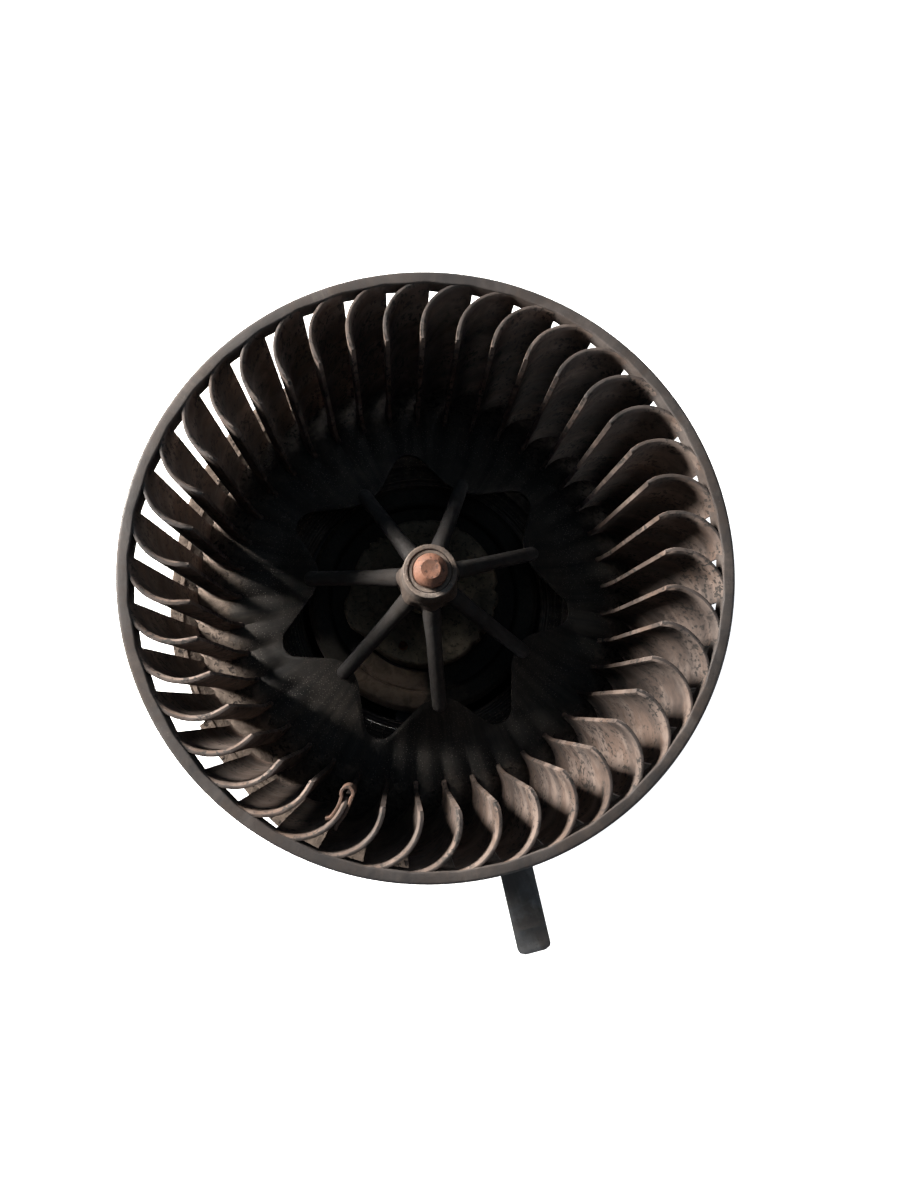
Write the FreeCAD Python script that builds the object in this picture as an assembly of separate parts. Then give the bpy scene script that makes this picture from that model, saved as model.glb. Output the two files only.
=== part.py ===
"""Centrifugal blower of a vehicle heater: a squirrel-cage wheel on a sprung-brush DC motor.

The motor hangs in a round plastic cradle under a mounting flange.  Lengths are in millimetres.
Z = 0 is the flange's seating face, +Z points along the shaft to the wheel's open end, and the
shaft is the Z axis.
"""
import FreeCAD, Part
import math
import os

Vector = FreeCAD.Vector
UP = Vector(0, 0, 1)
ORIGIN = Vector(0, 0, 0)

# ---- driving dimensions: fan wheel ----
RING_TOP = 73.0
RING_RADIUS = 70.0
RING_INNER_RADIUS = 67.4
RING_HEIGHT = 5.0
BLADE_COUNT = 41
BLADE_FIRST_ANGLE = 4.3
BLADE_TIP_RADIUS = 54.5
BLADE_CURVE_RADIUS = 11.1
BLADE_LEAN = 7.3
BLADE_SWEEP = 104.0
BLADE_THICKNESS = 1.25
BLADE_REACH = 68.2
BLADE_TOP = RING_TOP - 0.5
BACKPLATE_RADIUS = 66.5
BACKPLATE_DROP = 2.2
BACKPLATE_TOP = [(28.0, 32.9), (36.0, 22.0), (43.0, 13.5), (54.5, 10.0), (BACKPLATE_RADIUS, 6.2)]
SPOKE_COUNT = 7
SPOKE_STEP = 360.0 / SPOKE_COUNT
SPOKE_FIRST_ANGLE = 19.9
SPOKE_RADIUS = 2.1
SPOKE_INNER = (7.0, 48.4)
SPOKE_OUTER = (31.5, 28.0)
PETAL_TIP_RADIUS = 29.4
PETAL_NOSE_RADIUS = 9.0
LOBE_OUTER_RADIUS = 42.7
LOBE_CORNER_RADIUS = 4.5
HUB_TOP = 65.0
HUB_BOTTOM = 38.0
HUB_TOP_RADIUS = 6.35
HUB_WAIST = (6.65, 56.0)
HUB_COLLAR_RADIUS = 9.0
HUB_COLLAR = (44.0, 50.0)
BUSH_RADIUS = 5.2
CLIP_BLADE = 28
CLIP_THICKNESS = 0.5
CLIP_SWEEP = 30.0
CLIP_BOTTOM = 63.0
CLIP_TOP = 72.0

# ---- driving dimensions: shaft and armature ----
SHAFT_RADIUS = 4.0
SHAFT_TOP = 68.5
SHAFT_BOTTOM = -61.0
SHAFT_CHAMFER = 1.8
ARMATURE_RADIUS = 25.3
ARMATURE_BOTTOM = -26.0
ARMATURE_TOP = 4.0
SLOT_COUNT = 12
SLOT_BOTTOM_RADIUS = 11.0
SLOT_TOP_RADIUS = 22.8
SLOT_MOUTH = 2.4
INSULATOR_THICKNESS = 0.8
WINDING_RISE = 6.4
WINDING_INNER_RADIUS = 8.0
WINDING_OUTER_RADIUS = 22.5
TOOTH_HALF_WIDTH = 2.2
COMMUTATOR_RADIUS = 11.0
COMMUTATOR_CORE_RADIUS = 7.5
COMMUTATOR_BOTTOM = -48.0
COMMUTATOR_TOP = -34.5
SEGMENT_GAP_ANGLE = 3.5
HOOK_ANGLE = 9.0
HOOK_HEIGHT = 2.0
HOOK_REACH = 1.4
WASHER_RADIUS = 6.5
WASHER_THICKNESS = 0.9

# ---- driving dimensions: motor housing ----
CAN_RADIUS = 33.5
CAN_INNER_RADIUS = 31.9
CAN_BOTTOM = -54.0
CAN_TOP = 12.0
SHOULDER_TOP = 14.5
BOSS_RADIUS = 20.5
BOSS_TOP = 27.0
CAP_WALL = 1.4
CAP_EDGE = 0.8
CAP_HOLE_RADIUS = 6.2
VENT_RADIUS = 1.3
VENT_PLACE = (-6.0, -14.9)
RIM_NOTCH_RADIUS = 0.9
RIM_NOTCH_ANGLES = (7.0, -42.0, 128.0)
REAR_CAP_WALL = 1.2
REAR_CAP_BOTTOM = -63.5
REAR_CAP_STEP = 1.5
LEAD_HOLE_RADIUS = 1.6
MAGNET_INNER_RADIUS = 25.9
MAGNET_ANGLE = 128.0
MAGNET_BOTTOM = -30.0
MAGNET_TOP = 8.0
BEARING_BORE = 4.03
BEARING_RADIUS = 8.0
SEAT_RADIUS = 8.1
FRONT_BEARING = (16.5, 24.5)
REAR_BEARING = (-61.0, -53.6)
BEARING_BARREL = (1.5, 2.4)
FRONT_SEAT_BOTTOM = 16.0
RETAINER_REACH = 3.0
RETAINER_THICKNESS = 0.8
FELT_BORE = 4.5
PLATE_TOP = -47.0
PLATE_THICKNESS = 2.0
BRUSH_HEIGHT = 8.0
BRUSH_WIDTH = 6.0
BRUSH_MIDDLE = -42.0
BRUSH_INNER = COMMUTATOR_RADIUS + 0.3
BRUSH_OUTER = 19.5
BRUSH_GAP = 0.15
BOX_WALL = 0.8
BOX_INNER = 13.0
BOX_OUTER = 28.5
SPRING_RADIUS = 2.2
SPRING_WIRE = 0.3
SPRING_TURNS = 6
CHOKE_Y = 21.0
CHOKE_LENGTH = 18.0
CHOKE_CORE_RADIUS = 2.2
CHOKE_COIL_LENGTH = 12.0
CHOKE_COIL_RADIUS = 3.2
CAPACITOR_CORNER = (12.5, -16.0)
CAPACITOR_SIZE = (8.0, 5.0, 7.5)
LEAD_SPACING = 10.0
LEAD_Y = 27.0
LEAD_RADIUS = 1.2

# ---- driving dimensions: flange, cradle and rear cover ----
CRADLE_RADIUS = 39.0
CRADLE_INNER_RADIUS = 36.5
CRADLE_BOTTOM = -54.0
FLANGE_RADIUS = 76.0
FLANGE_THICKNESS = 2.5
SPIGOT_RADIUS = 72.4
SPIGOT_INNER_RADIUS = 70.9
SPIGOT_HEIGHT = 4.0
LOBE_OFFSET = 11.0
LOBE_ANGLE = 122.0
LOBE_RADIUS = 69.2
SIDE_LOBE_OFFSET = 17.0
SIDE_LOBE_ANGLE = -16.0
SIDE_LOBE_RADIUS = 74.0
TONGUE_LOBE_OFFSET = 16.0
TONGUE_LOBE_ANGLE = 275.0
TONGUE_LOBE_RADIUS = 67.0
NOTCH_ANGLES = (62.0, 202.0)
NOTCH_WIDTH = 14.0
NOTCH_INNER_RADIUS = 74.0
GUSSET_COUNT = 9
GUSSET_DEPTH = 16.0
GUSSET_REACH = 64.0
GUSSET_THICKNESS = 2.0
TONGUE_ANGLE = -76.95
TONGUE_OFFSET = 9.8
TONGUE_WIDTH = 10.0
TONGUE_END = 109.2
TONGUE_TOP = -2.8
TONGUE_THICKNESS = 2.2
TONGUE_ROOT = 60.5
TONGUE_RIDGE = 101.5
TONGUE_RIDGE_SIZE = (1.2, 0.5)
TONGUE_CORNER = 1.8
TONGUE_ROOT_LENGTH = 7.5
TONGUE_HINGE_GAP = 0.5
ISOLATOR_BOTTOMS = (-12.0, -48.0)
ISOLATOR_HEIGHT = 10.0
ISOLATOR_ANGLE = 26.0
COVER_BOTTOM = -68.0
COVER_WALL = 2.0
VENT_SLOT_COUNT = 10
VENT_SLOT_RADII = (14.0, 31.0)
VENT_SLOT_WIDTH = 3.0
SCREW_ANGLES = (30.0, 150.0, 270.0)
SCREW_CIRCLE = 43.0
SCREW_RADIUS = 1.7
SCREW_LENGTH = 13.0
SCREW_SLACK = 0.05
HEAD_RADIUS = 3.2
HEAD_HEIGHT = 2.2
DRIVE_RADIUS = 1.2
DRIVE_DEPTH = 1.4
EAR_RADIUS = 4.5
EAR_HEIGHT = 10.0
COVER_EAR_HEIGHT = 4.0
SOCKET_HALF_WIDTH = 9.5
SOCKET_HALF_HEIGHT = 6.0
SOCKET_MIDDLE = -61.0
SOCKET_MOUTH = 56.0
SOCKET_BACK = 43.0
SOCKET_WALL = 1.5
PIN_THICKNESS = 0.8
PIN_HALF_HEIGHT = 2.5


# ---- helpers ----
def turned(points):
    """Solid of revolution about Z from a closed outline of (radius, height) points."""
    corners = [Vector(r, 0, z) for r, z in points]
    outline = Part.makePolygon(corners + corners[:1])
    return Part.Face(outline).revolve(ORIGIN, UP, 360)


def disc(radius, low, high):
    return Part.makeCylinder(radius, high - low, Vector(0, 0, low))


def tube(inner, outer, low, high):
    return disc(outer, low, high).cut(disc(inner, low, high))


def box(low, high):
    return Part.makeBox(high[0] - low[0], high[1] - low[1], high[2] - low[2], Vector(*low))


def turn(shape, angle):
    """Copy of a shape turned about the shaft."""
    copy = shape.copy()
    copy.rotate(ORIGIN, UP, angle)
    return copy


def around(shape, count, first=0.0):
    """The same shape repeated evenly about the shaft."""
    return [turn(shape, first + step * 360.0 / count) for step in range(count)]


def polar(radius, degrees, height=0.0):
    a = math.radians(degrees)
    return Vector(radius * math.cos(a), radius * math.sin(a), height)


def joined(shapes):
    """One solid from touching or overlapping shapes."""
    return shapes[0].multiFuse(shapes[1:]).removeSplitter()


def sector(inner, outer, low, high, middle, width):
    """Part of a tube between two angles."""
    wedge = Part.makeCylinder(outer, high - low, Vector(0, 0, low), UP, width)
    wedge = wedge.cut(disc(inner, low, high))
    return turn(wedge, middle - width / 2)


def arc_band(centre, inner, outer, start, end, low, high):
    """Curved strip between two arcs about one centre, extruded along Z."""
    def at(radius, degrees):
        return centre + polar(radius, degrees)
    middle = (start + end) / 2
    edges = [Part.Arc(at(outer, start), at(outer, middle), at(outer, end)).toShape(),
             Part.LineSegment(at(outer, end), at(inner, end)).toShape(),
             Part.Arc(at(inner, end), at(inner, middle), at(inner, start)).toShape(),
             Part.LineSegment(at(inner, start), at(outer, start)).toShape()]
    band = Part.Face(Part.Wire(edges)).extrude(Vector(0, 0, high - low))
    band.translate(Vector(0, 0, low))
    return band


# ---- fan wheel ----
def fan_ring():
    low = RING_TOP - RING_HEIGHT
    edge = 0.4
    return turned([(RING_INNER_RADIUS, low), (RING_RADIUS, low), (RING_RADIUS, RING_TOP - edge),
                   (RING_RADIUS - edge, RING_TOP), (RING_INNER_RADIUS, RING_TOP)])


def blade_centre():
    """Centre of the arc that a blade follows from its inner tip, in the first blade's own frame."""
    return Vector(BLADE_TIP_RADIUS, 0, 0) + polar(BLADE_CURVE_RADIUS, BLADE_LEAN - 90.0)


def one_blade():
    """Blade that leaves its inner tip nearly radially and curves back to the ring and a little under it."""
    centre = blade_centre()
    half = BLADE_THICKNESS / 2
    start = 90.0 + BLADE_LEAN
    band = arc_band(centre, BLADE_CURVE_RADIUS - half, BLADE_CURVE_RADIUS + half,
                    start, start - BLADE_SWEEP, 0.0, BLADE_TOP)
    ring_low = RING_TOP - RING_HEIGHT
    room = turned([(BACKPLATE_TOP[2][0], BLADE_TOP)] + BACKPLATE_TOP[2:]
                  + [(BLADE_REACH, BACKPLATE_TOP[-1][1]), (BLADE_REACH, ring_low),
                     (RING_INNER_RADIUS, ring_low), (RING_INNER_RADIUS, BLADE_TOP)])
    return band.common(room)


def fan_blades():
    blade = one_blade()
    return Part.makeCompound(around(blade, BLADE_COUNT, BLADE_FIRST_ANGLE))


def petal_side(spoke, side):
    """Ends of the straight edge from a lobe's corner to the petal's nose, on one side of a spoke."""
    nose = polar(PETAL_TIP_RADIUS + PETAL_NOSE_RADIUS, spoke)
    lobe = polar(LOBE_OUTER_RADIUS - LOBE_CORNER_RADIUS, spoke + side * SPOKE_STEP / 2)
    gap = lobe - nose
    lean = math.degrees(math.acos((PETAL_NOSE_RADIUS + LOBE_CORNER_RADIUS) / gap.Length))
    towards = math.degrees(math.atan2(gap.y, gap.x)) + side * lean
    return lobe - polar(LOBE_CORNER_RADIUS, towards), nose + polar(PETAL_NOSE_RADIUS, towards)


def rosette():
    """Hole in the backplate: a rounded lobe between each pair of petals."""
    edges = []
    for index in range(SPOKE_COUNT):
        spoke = SPOKE_FIRST_ANGLE + index * SPOKE_STEP
        lobe_before, nose_before = petal_side(spoke, -1)
        lobe_after, nose_after = petal_side(spoke, 1)
        next_lobe = petal_side(spoke + SPOKE_STEP, -1)[0]
        petal_tip = polar(PETAL_TIP_RADIUS, spoke)
        lobe_top = polar(LOBE_OUTER_RADIUS, spoke + SPOKE_STEP / 2)
        edges.append(Part.LineSegment(lobe_before, nose_before).toShape())
        edges.append(Part.Arc(nose_before, petal_tip, nose_after).toShape())
        edges.append(Part.LineSegment(nose_after, lobe_after).toShape())
        edges.append(Part.Arc(lobe_after, lobe_top, next_lobe).toShape())
    face = Part.Face(Part.Wire(Part.__sortEdges__(edges)))
    return face.extrude(Vector(0, 0, RING_TOP))


def fan_backplate():
    under = [(r, z - BACKPLATE_DROP) for r, z in reversed(BACKPLATE_TOP)]
    return turned(BACKPLATE_TOP + under).cut(rosette())


def fan_hub():
    """Plain round top on a wider collar, which carries the spokes."""
    edge = 0.6
    collar_low, collar_high = HUB_COLLAR
    return turned([(BUSH_RADIUS, HUB_TOP), (HUB_TOP_RADIUS - edge, HUB_TOP),
                   (HUB_TOP_RADIUS, HUB_TOP - edge), HUB_WAIST,
                   (HUB_COLLAR_RADIUS, collar_high), (HUB_COLLAR_RADIUS, collar_low),
                   (HUB_COLLAR_RADIUS - 1, HUB_BOTTOM), (BUSH_RADIUS, HUB_BOTTOM)])


def fan_spokes():
    start = Vector(SPOKE_INNER[0], 0, SPOKE_INNER[1])
    run = Vector(SPOKE_OUTER[0], 0, SPOKE_OUTER[1]) - start
    rod = Part.makeCylinder(SPOKE_RADIUS, run.Length, start, run)
    rod = turn(rod, SPOKE_FIRST_ANGLE)
    rod = rod.cut(fan_hub()).cut(disc(BUSH_RADIUS, HUB_BOTTOM, HUB_TOP)).cut(fan_backplate())
    longest = max(rod.Solids, key=lambda solid: solid.Volume)
    return Part.makeCompound(around(longest, SPOKE_COUNT))


def hub_bush():
    return tube(SHAFT_RADIUS, BUSH_RADIUS, HUB_BOTTOM, HUB_TOP - 0.3)


def balance_clip():
    """Sprung steel clip pushed over the inner edge of one blade."""
    centre = blade_centre()
    near = BLADE_CURVE_RADIUS - BLADE_THICKNESS / 2
    far = BLADE_CURVE_RADIUS + BLADE_THICKNESS / 2
    start = 90.0 + BLADE_LEAN
    end = start - CLIP_SWEEP
    before = start + math.degrees(CLIP_THICKNESS / BLADE_CURVE_RADIUS)
    outer_leg = arc_band(centre, far, far + CLIP_THICKNESS, start, end, CLIP_BOTTOM, CLIP_TOP)
    inner_leg = arc_band(centre, near - CLIP_THICKNESS, near, start, end, CLIP_BOTTOM, CLIP_TOP)
    bridge = arc_band(centre, near - CLIP_THICKNESS, far + CLIP_THICKNESS, before, start, CLIP_BOTTOM, CLIP_TOP)
    clip = joined([outer_leg, inner_leg, bridge])
    return turn(clip, BLADE_FIRST_ANGLE + CLIP_BLADE * 360.0 / BLADE_COUNT)


# ---- shaft and armature ----
def motor_shaft():
    flat = SHAFT_RADIUS - SHAFT_CHAMFER
    return turned([(0, SHAFT_BOTTOM), (SHAFT_RADIUS - 0.5, SHAFT_BOTTOM),
                   (SHAFT_RADIUS, SHAFT_BOTTOM + 0.5), (SHAFT_RADIUS, SHAFT_TOP - SHAFT_CHAMFER / 1.3),
                   (flat, SHAFT_TOP), (0, SHAFT_TOP)])


def slot_solids(low, high, slack=0.0):
    """Winding slots of the armature, each a wedge that narrows towards the shaft."""
    half_step = math.pi / SLOT_COUNT
    tooth = TOOTH_HALF_WIDTH + slack
    inner = SLOT_BOTTOM_RADIUS + slack
    outer = SLOT_TOP_RADIUS - slack
    corners = []
    for radius, side in ((inner, -1), (outer, -1), (outer, 1), (inner, 1)):
        half_width = radius * math.tan(half_step) - tooth
        corners.append(Vector(radius, side * half_width, low))
    wedge = Part.Face(Part.makePolygon(corners + corners[:1])).extrude(Vector(0, 0, high - low))
    return around(wedge, SLOT_COUNT)


def lamination(low, high):
    body = tube(SHAFT_RADIUS, ARMATURE_RADIUS, low, high)
    mouth = box((SLOT_TOP_RADIUS - 1, -SLOT_MOUTH / 2, low), (ARMATURE_RADIUS + 1, SLOT_MOUTH / 2, high))
    for cutter in slot_solids(low, high) + around(mouth, SLOT_COUNT):
        body = body.cut(cutter)
    return body


def armature_core():
    return lamination(ARMATURE_BOTTOM, ARMATURE_TOP)


def armature_insulators():
    return Part.makeCompound([
        lamination(ARMATURE_TOP, ARMATURE_TOP + INSULATOR_THICKNESS),
        lamination(ARMATURE_BOTTOM - INSULATOR_THICKNESS, ARMATURE_BOTTOM)])


def coil_head(face, rise):
    """Rounded bundle of turns past one end of the core."""
    middle = (WINDING_INNER_RADIUS + WINDING_OUTER_RADIUS) / 2
    return turned([(WINDING_INNER_RADIUS, face), (WINDING_OUTER_RADIUS, face),
                   (WINDING_OUTER_RADIUS - 0.5, face + 0.55 * rise),
                   (WINDING_OUTER_RADIUS - 3.5, face + 0.9 * rise), (middle - 1.25, face + rise),
                   (WINDING_INNER_RADIUS + 1.0, face + 0.8 * rise)])


def armature_windings():
    top = ARMATURE_TOP + INSULATOR_THICKNESS
    bottom = ARMATURE_BOTTOM - INSULATOR_THICKNESS
    parts = [coil_head(top, WINDING_RISE), coil_head(bottom, -WINDING_RISE)]
    return joined(parts + slot_solids(bottom - 0.5, top + 0.5, 0.1))


def commutator_core():
    return tube(SHAFT_RADIUS, COMMUTATOR_CORE_RADIUS, COMMUTATOR_BOTTOM, COMMUTATOR_TOP)


def commutator_segments():
    pitch = 360.0 / SLOT_COUNT
    bar = sector(COMMUTATOR_CORE_RADIUS, COMMUTATOR_RADIUS, COMMUTATOR_BOTTOM, COMMUTATOR_TOP,
                 0, pitch - SEGMENT_GAP_ANGLE)
    hook = sector(COMMUTATOR_RADIUS - 0.5, COMMUTATOR_RADIUS + HOOK_REACH, COMMUTATOR_TOP - HOOK_HEIGHT,
                  COMMUTATOR_TOP, 0, HOOK_ANGLE)
    return Part.makeCompound(around(joined([bar, hook]), SLOT_COUNT, pitch / 2))


def thrust_washers():
    front = FRONT_BEARING[0] - 0.3
    rear = REAR_BEARING[1] + 0.3
    return Part.makeCompound([
        tube(SHAFT_RADIUS, WASHER_RADIUS, front - WASHER_THICKNESS, front),
        tube(SHAFT_RADIUS, WASHER_RADIUS, rear, rear + WASHER_THICKNESS)])


# ---- motor housing ----
def motor_can():
    return tube(CAN_INNER_RADIUS, CAN_RADIUS, CAN_BOTTOM, CAN_TOP)


def motor_front_cap():
    """Stepped end cap: a flat shoulder, a raised round boss and the front bearing seat."""
    boss_inner = BOSS_RADIUS - CAP_WALL
    seat_outer = SEAT_RADIUS + REAR_CAP_WALL
    under_boss = BOSS_TOP - CAP_WALL
    under_shoulder = SHOULDER_TOP - CAP_WALL
    cap = turned([(CAN_RADIUS, CAN_TOP), (CAN_RADIUS, SHOULDER_TOP - CAP_EDGE),
                  (CAN_RADIUS - CAP_EDGE, SHOULDER_TOP), (BOSS_RADIUS + CAP_EDGE, SHOULDER_TOP),
                  (BOSS_RADIUS, SHOULDER_TOP + CAP_EDGE), (BOSS_RADIUS, BOSS_TOP - CAP_EDGE),
                  (BOSS_RADIUS - CAP_EDGE, BOSS_TOP), (CAP_HOLE_RADIUS, BOSS_TOP),
                  (CAP_HOLE_RADIUS, under_boss), (SEAT_RADIUS, under_boss),
                  (SEAT_RADIUS, FRONT_SEAT_BOTTOM), (seat_outer, FRONT_SEAT_BOTTOM),
                  (seat_outer, under_boss), (boss_inner, under_boss), (boss_inner, under_shoulder),
                  (CAN_INNER_RADIUS, under_shoulder), (CAN_INNER_RADIUS, CAN_TOP)])
    depth = 4.0
    cap = cap.cut(Part.makeCylinder(VENT_RADIUS, depth, Vector(*VENT_PLACE, BOSS_TOP - 3.0)))
    for angle in RIM_NOTCH_ANGLES:
        cap = cap.cut(Part.makeCylinder(RIM_NOTCH_RADIUS, depth, polar(BOSS_RADIUS, angle, BOSS_TOP - 3.0)))
    return cap


def motor_rear_cap():
    """Flat end cap with a round pocket for the rear bearing and holes for the leads."""
    pocket = SEAT_RADIUS + REAR_CAP_WALL
    face = CAN_BOTTOM - REAR_CAP_STEP
    pocket_floor = REAR_CAP_BOTTOM + REAR_CAP_WALL
    cap = turned([(CAN_RADIUS, CAN_BOTTOM), (CAN_RADIUS, face), (pocket + 1, face), (pocket, face - 1),
                  (pocket, REAR_CAP_BOTTOM + 0.5), (pocket - 0.5, REAR_CAP_BOTTOM), (0, REAR_CAP_BOTTOM),
                  (0, pocket_floor), (SEAT_RADIUS, pocket_floor), (SEAT_RADIUS, CAN_BOTTOM)])
    for side in (-1, 1):
        place = Vector(side * LEAD_SPACING / 2, LEAD_Y, CAN_BOTTOM - 3)
        cap = cap.cut(Part.makeCylinder(LEAD_HOLE_RADIUS, 4.0, place))
    return cap


def magnets():
    return [sector(MAGNET_INNER_RADIUS, CAN_INNER_RADIUS, MAGNET_BOTTOM, MAGNET_TOP, middle, MAGNET_ANGLE)
            for middle in (90.0, 270.0)]


def magnet_clips():
    """Two bowed steel strips that spread the magnets against the can."""
    width = 180.0 - MAGNET_ANGLE
    return Part.makeCompound([
        sector(CAN_INNER_RADIUS - 1.0, CAN_INNER_RADIUS, MAGNET_BOTTOM, MAGNET_TOP, middle, width)
        for middle in (0.0, 180.0)])


def bearing(low, high):
    """Sintered bronze bush with a barrel-shaped outside."""
    inset, rise = BEARING_BARREL
    waist = BEARING_RADIUS - inset
    return turned([(BEARING_BORE, low), (waist, low), (BEARING_RADIUS, low + rise),
                   (BEARING_RADIUS, high - rise), (waist, high), (BEARING_BORE, high)])


def bearing_retainers():
    """Spring washers that hold each bearing in its seat."""
    inner = WASHER_RADIUS + 0.5
    outer = SEAT_RADIUS + RETAINER_REACH
    return Part.makeCompound([tube(inner, outer, FRONT_SEAT_BOTTOM - RETAINER_THICKNESS, FRONT_SEAT_BOTTOM),
                              tube(inner, outer, CAN_BOTTOM, CAN_BOTTOM + RETAINER_THICKNESS)])


def oil_felts():
    return Part.makeCompound([
        tube(FELT_BORE, SEAT_RADIUS, FRONT_BEARING[1], BOSS_TOP - CAP_WALL),
        tube(FELT_BORE, SEAT_RADIUS, REAR_CAP_BOTTOM + REAR_CAP_WALL, REAR_BEARING[0])])


def brush_plate():
    return tube(COMMUTATOR_RADIUS + 2.0, CAN_INNER_RADIUS, PLATE_TOP - PLATE_THICKNESS, PLATE_TOP)


def brush_box():
    """Folded brass guide on the +X side, closed at its outer end."""
    half_y = BRUSH_WIDTH / 2 + BRUSH_GAP
    half_z = BRUSH_HEIGHT / 2 + BRUSH_GAP
    outside = box((BOX_INNER, -half_y - BOX_WALL, PLATE_TOP),
                  (BOX_OUTER, half_y + BOX_WALL, BRUSH_MIDDLE + half_z + BOX_WALL))
    inside = box((BOX_INNER - 1, -half_y, BRUSH_MIDDLE - half_z),
                 (BOX_OUTER - BOX_WALL, half_y, BRUSH_MIDDLE + half_z))
    return outside.cut(inside)


def brush_boxes():
    return Part.makeCompound(around(brush_box(), 2))


def carbon_brush():
    block = box((COMMUTATOR_RADIUS - 1, -BRUSH_WIDTH / 2, BRUSH_MIDDLE - BRUSH_HEIGHT / 2),
                (BRUSH_OUTER, BRUSH_WIDTH / 2, BRUSH_MIDDLE + BRUSH_HEIGHT / 2))
    return block.cut(disc(BRUSH_INNER, COMMUTATOR_BOTTOM, COMMUTATOR_TOP))


def brush_spring():
    """Coil spring between the brush and the closed end of its box."""
    low = BRUSH_OUTER + 0.3 + SPRING_WIRE
    high = BOX_OUTER - BOX_WALL - SPRING_WIRE - 0.05
    pitch = (high - low) / SPRING_TURNS
    path = Part.makeHelix(pitch, high - low, SPRING_RADIUS)
    section = Part.Wire(Part.makeCircle(SPRING_WIRE, Vector(SPRING_RADIUS, 0, 0), Vector(0, 1, 0)))
    coil = Part.Wire(path).makePipeShell([section], True, True)
    coil.rotate(ORIGIN, Vector(0, 1, 0), 90)
    coil.translate(Vector(low, 0, BRUSH_MIDDLE))
    return Part.makeCompound(coil.Solids)


def choke_coils():
    """Two suppression chokes: a ferrite rod with a copper winding, lying on the brush plate."""
    along = Vector(1, 0, 0)
    height = PLATE_TOP + CHOKE_COIL_RADIUS
    chokes = []
    for side in (-1, 1):
        rod = Part.makeCylinder(CHOKE_CORE_RADIUS, CHOKE_LENGTH,
                                Vector(-CHOKE_LENGTH / 2, side * CHOKE_Y, height), along)
        coil = Part.makeCylinder(CHOKE_COIL_RADIUS, CHOKE_COIL_LENGTH,
                                 Vector(-CHOKE_COIL_LENGTH / 2, side * CHOKE_Y, height), along)
        chokes.append(joined([rod, coil]))
    return Part.makeCompound(chokes)


def suppression_capacitor():
    x, y = CAPACITOR_CORNER
    length, width, height = CAPACITOR_SIZE
    body = box((x, y, PLATE_TOP), (x + length, y + width, PLATE_TOP + height))
    return body.makeFillet(1.0, [e for e in body.Edges if abs(e.tangentAt(0).z) > 0.9])


def motor_leads():
    """Two insulated leads from the terminal pins up to the brush plate."""
    top = PLATE_TOP - PLATE_THICKNESS
    low = SOCKET_MIDDLE + PIN_HALF_HEIGHT
    return Part.makeCompound([
        Part.makeCylinder(LEAD_RADIUS, top - low, Vector(side * LEAD_SPACING / 2, LEAD_Y, low))
        for side in (-1, 1)])


# ---- flange, cradle, tongue and rear cover ----
def flange_outline(low, high):
    """Round flange with a low lobe, a wider side lobe and two entry notches in its rim."""
    height = high - low
    lobe = Part.makeCylinder(LOBE_RADIUS, height, polar(LOBE_OFFSET, LOBE_ANGLE, low))
    side_lobe = Part.makeCylinder(SIDE_LOBE_RADIUS, height, polar(SIDE_LOBE_OFFSET, SIDE_LOBE_ANGLE, low))
    tongue_lobe = Part.makeCylinder(TONGUE_LOBE_RADIUS, height, polar(TONGUE_LOBE_OFFSET, TONGUE_LOBE_ANGLE, low))
    plate = joined([disc(FLANGE_RADIUS, low, high), lobe, side_lobe, tongue_lobe])
    for angle in NOTCH_ANGLES:
        plate = plate.cut(sector(NOTCH_INNER_RADIUS, FLANGE_RADIUS + 10, low, high, angle, NOTCH_WIDTH))
    return plate


def tongue_frame(shape):
    """Moves a shape drawn along +X to the tongue's own line."""
    shape.translate(Vector(0, TONGUE_OFFSET, 0))
    return turn(shape, TONGUE_ANGLE)


def tongue_root():
    """Block under the flange that the tongue hangs from."""
    half = TONGUE_WIDTH / 2
    end = TONGUE_ROOT - TONGUE_HINGE_GAP
    return tongue_frame(box((end - TONGUE_ROOT_LENGTH, -half, TONGUE_TOP - TONGUE_THICKNESS),
                            (end, half, -FLANGE_THICKNESS)))


def gusset():
    """Three-cornered rib between the flange and the cradle, on the +X side."""
    side = -GUSSET_THICKNESS / 2
    inner = CRADLE_RADIUS - 1
    corners = [Vector(inner, side, -FLANGE_THICKNESS), Vector(GUSSET_REACH, side, -FLANGE_THICKNESS),
               Vector(inner, side, -FLANGE_THICKNESS - GUSSET_DEPTH)]
    return Part.Face(Part.makePolygon(corners + corners[:1])).extrude(Vector(0, GUSSET_THICKNESS, 0))


def mounting_flange():
    """Flange plate with its locating spigot, gussets and the root of the tongue."""
    plate = flange_outline(-FLANGE_THICKNESS, 0.0)
    spigot = tube(SPIGOT_INNER_RADIUS, SPIGOT_RADIUS, 0.0, SPIGOT_HEIGHT)
    body = joined([plate, spigot, tongue_root()] + around(gusset(), GUSSET_COUNT))
    return body.cut(disc(CRADLE_RADIUS, -40, 10))


def screw_ears(low, high):
    return [Part.makeCylinder(EAR_RADIUS, high - low, polar(SCREW_CIRCLE, angle, low))
            for angle in SCREW_ANGLES]


def screw_holes():
    """Clearance for the cover screws through the cradle's and the cover's ears."""
    radius = SCREW_RADIUS + SCREW_SLACK
    return [Part.makeCylinder(radius, 24.0, polar(SCREW_CIRCLE, angle, CRADLE_BOTTOM - 12))
            for angle in SCREW_ANGLES]


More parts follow.
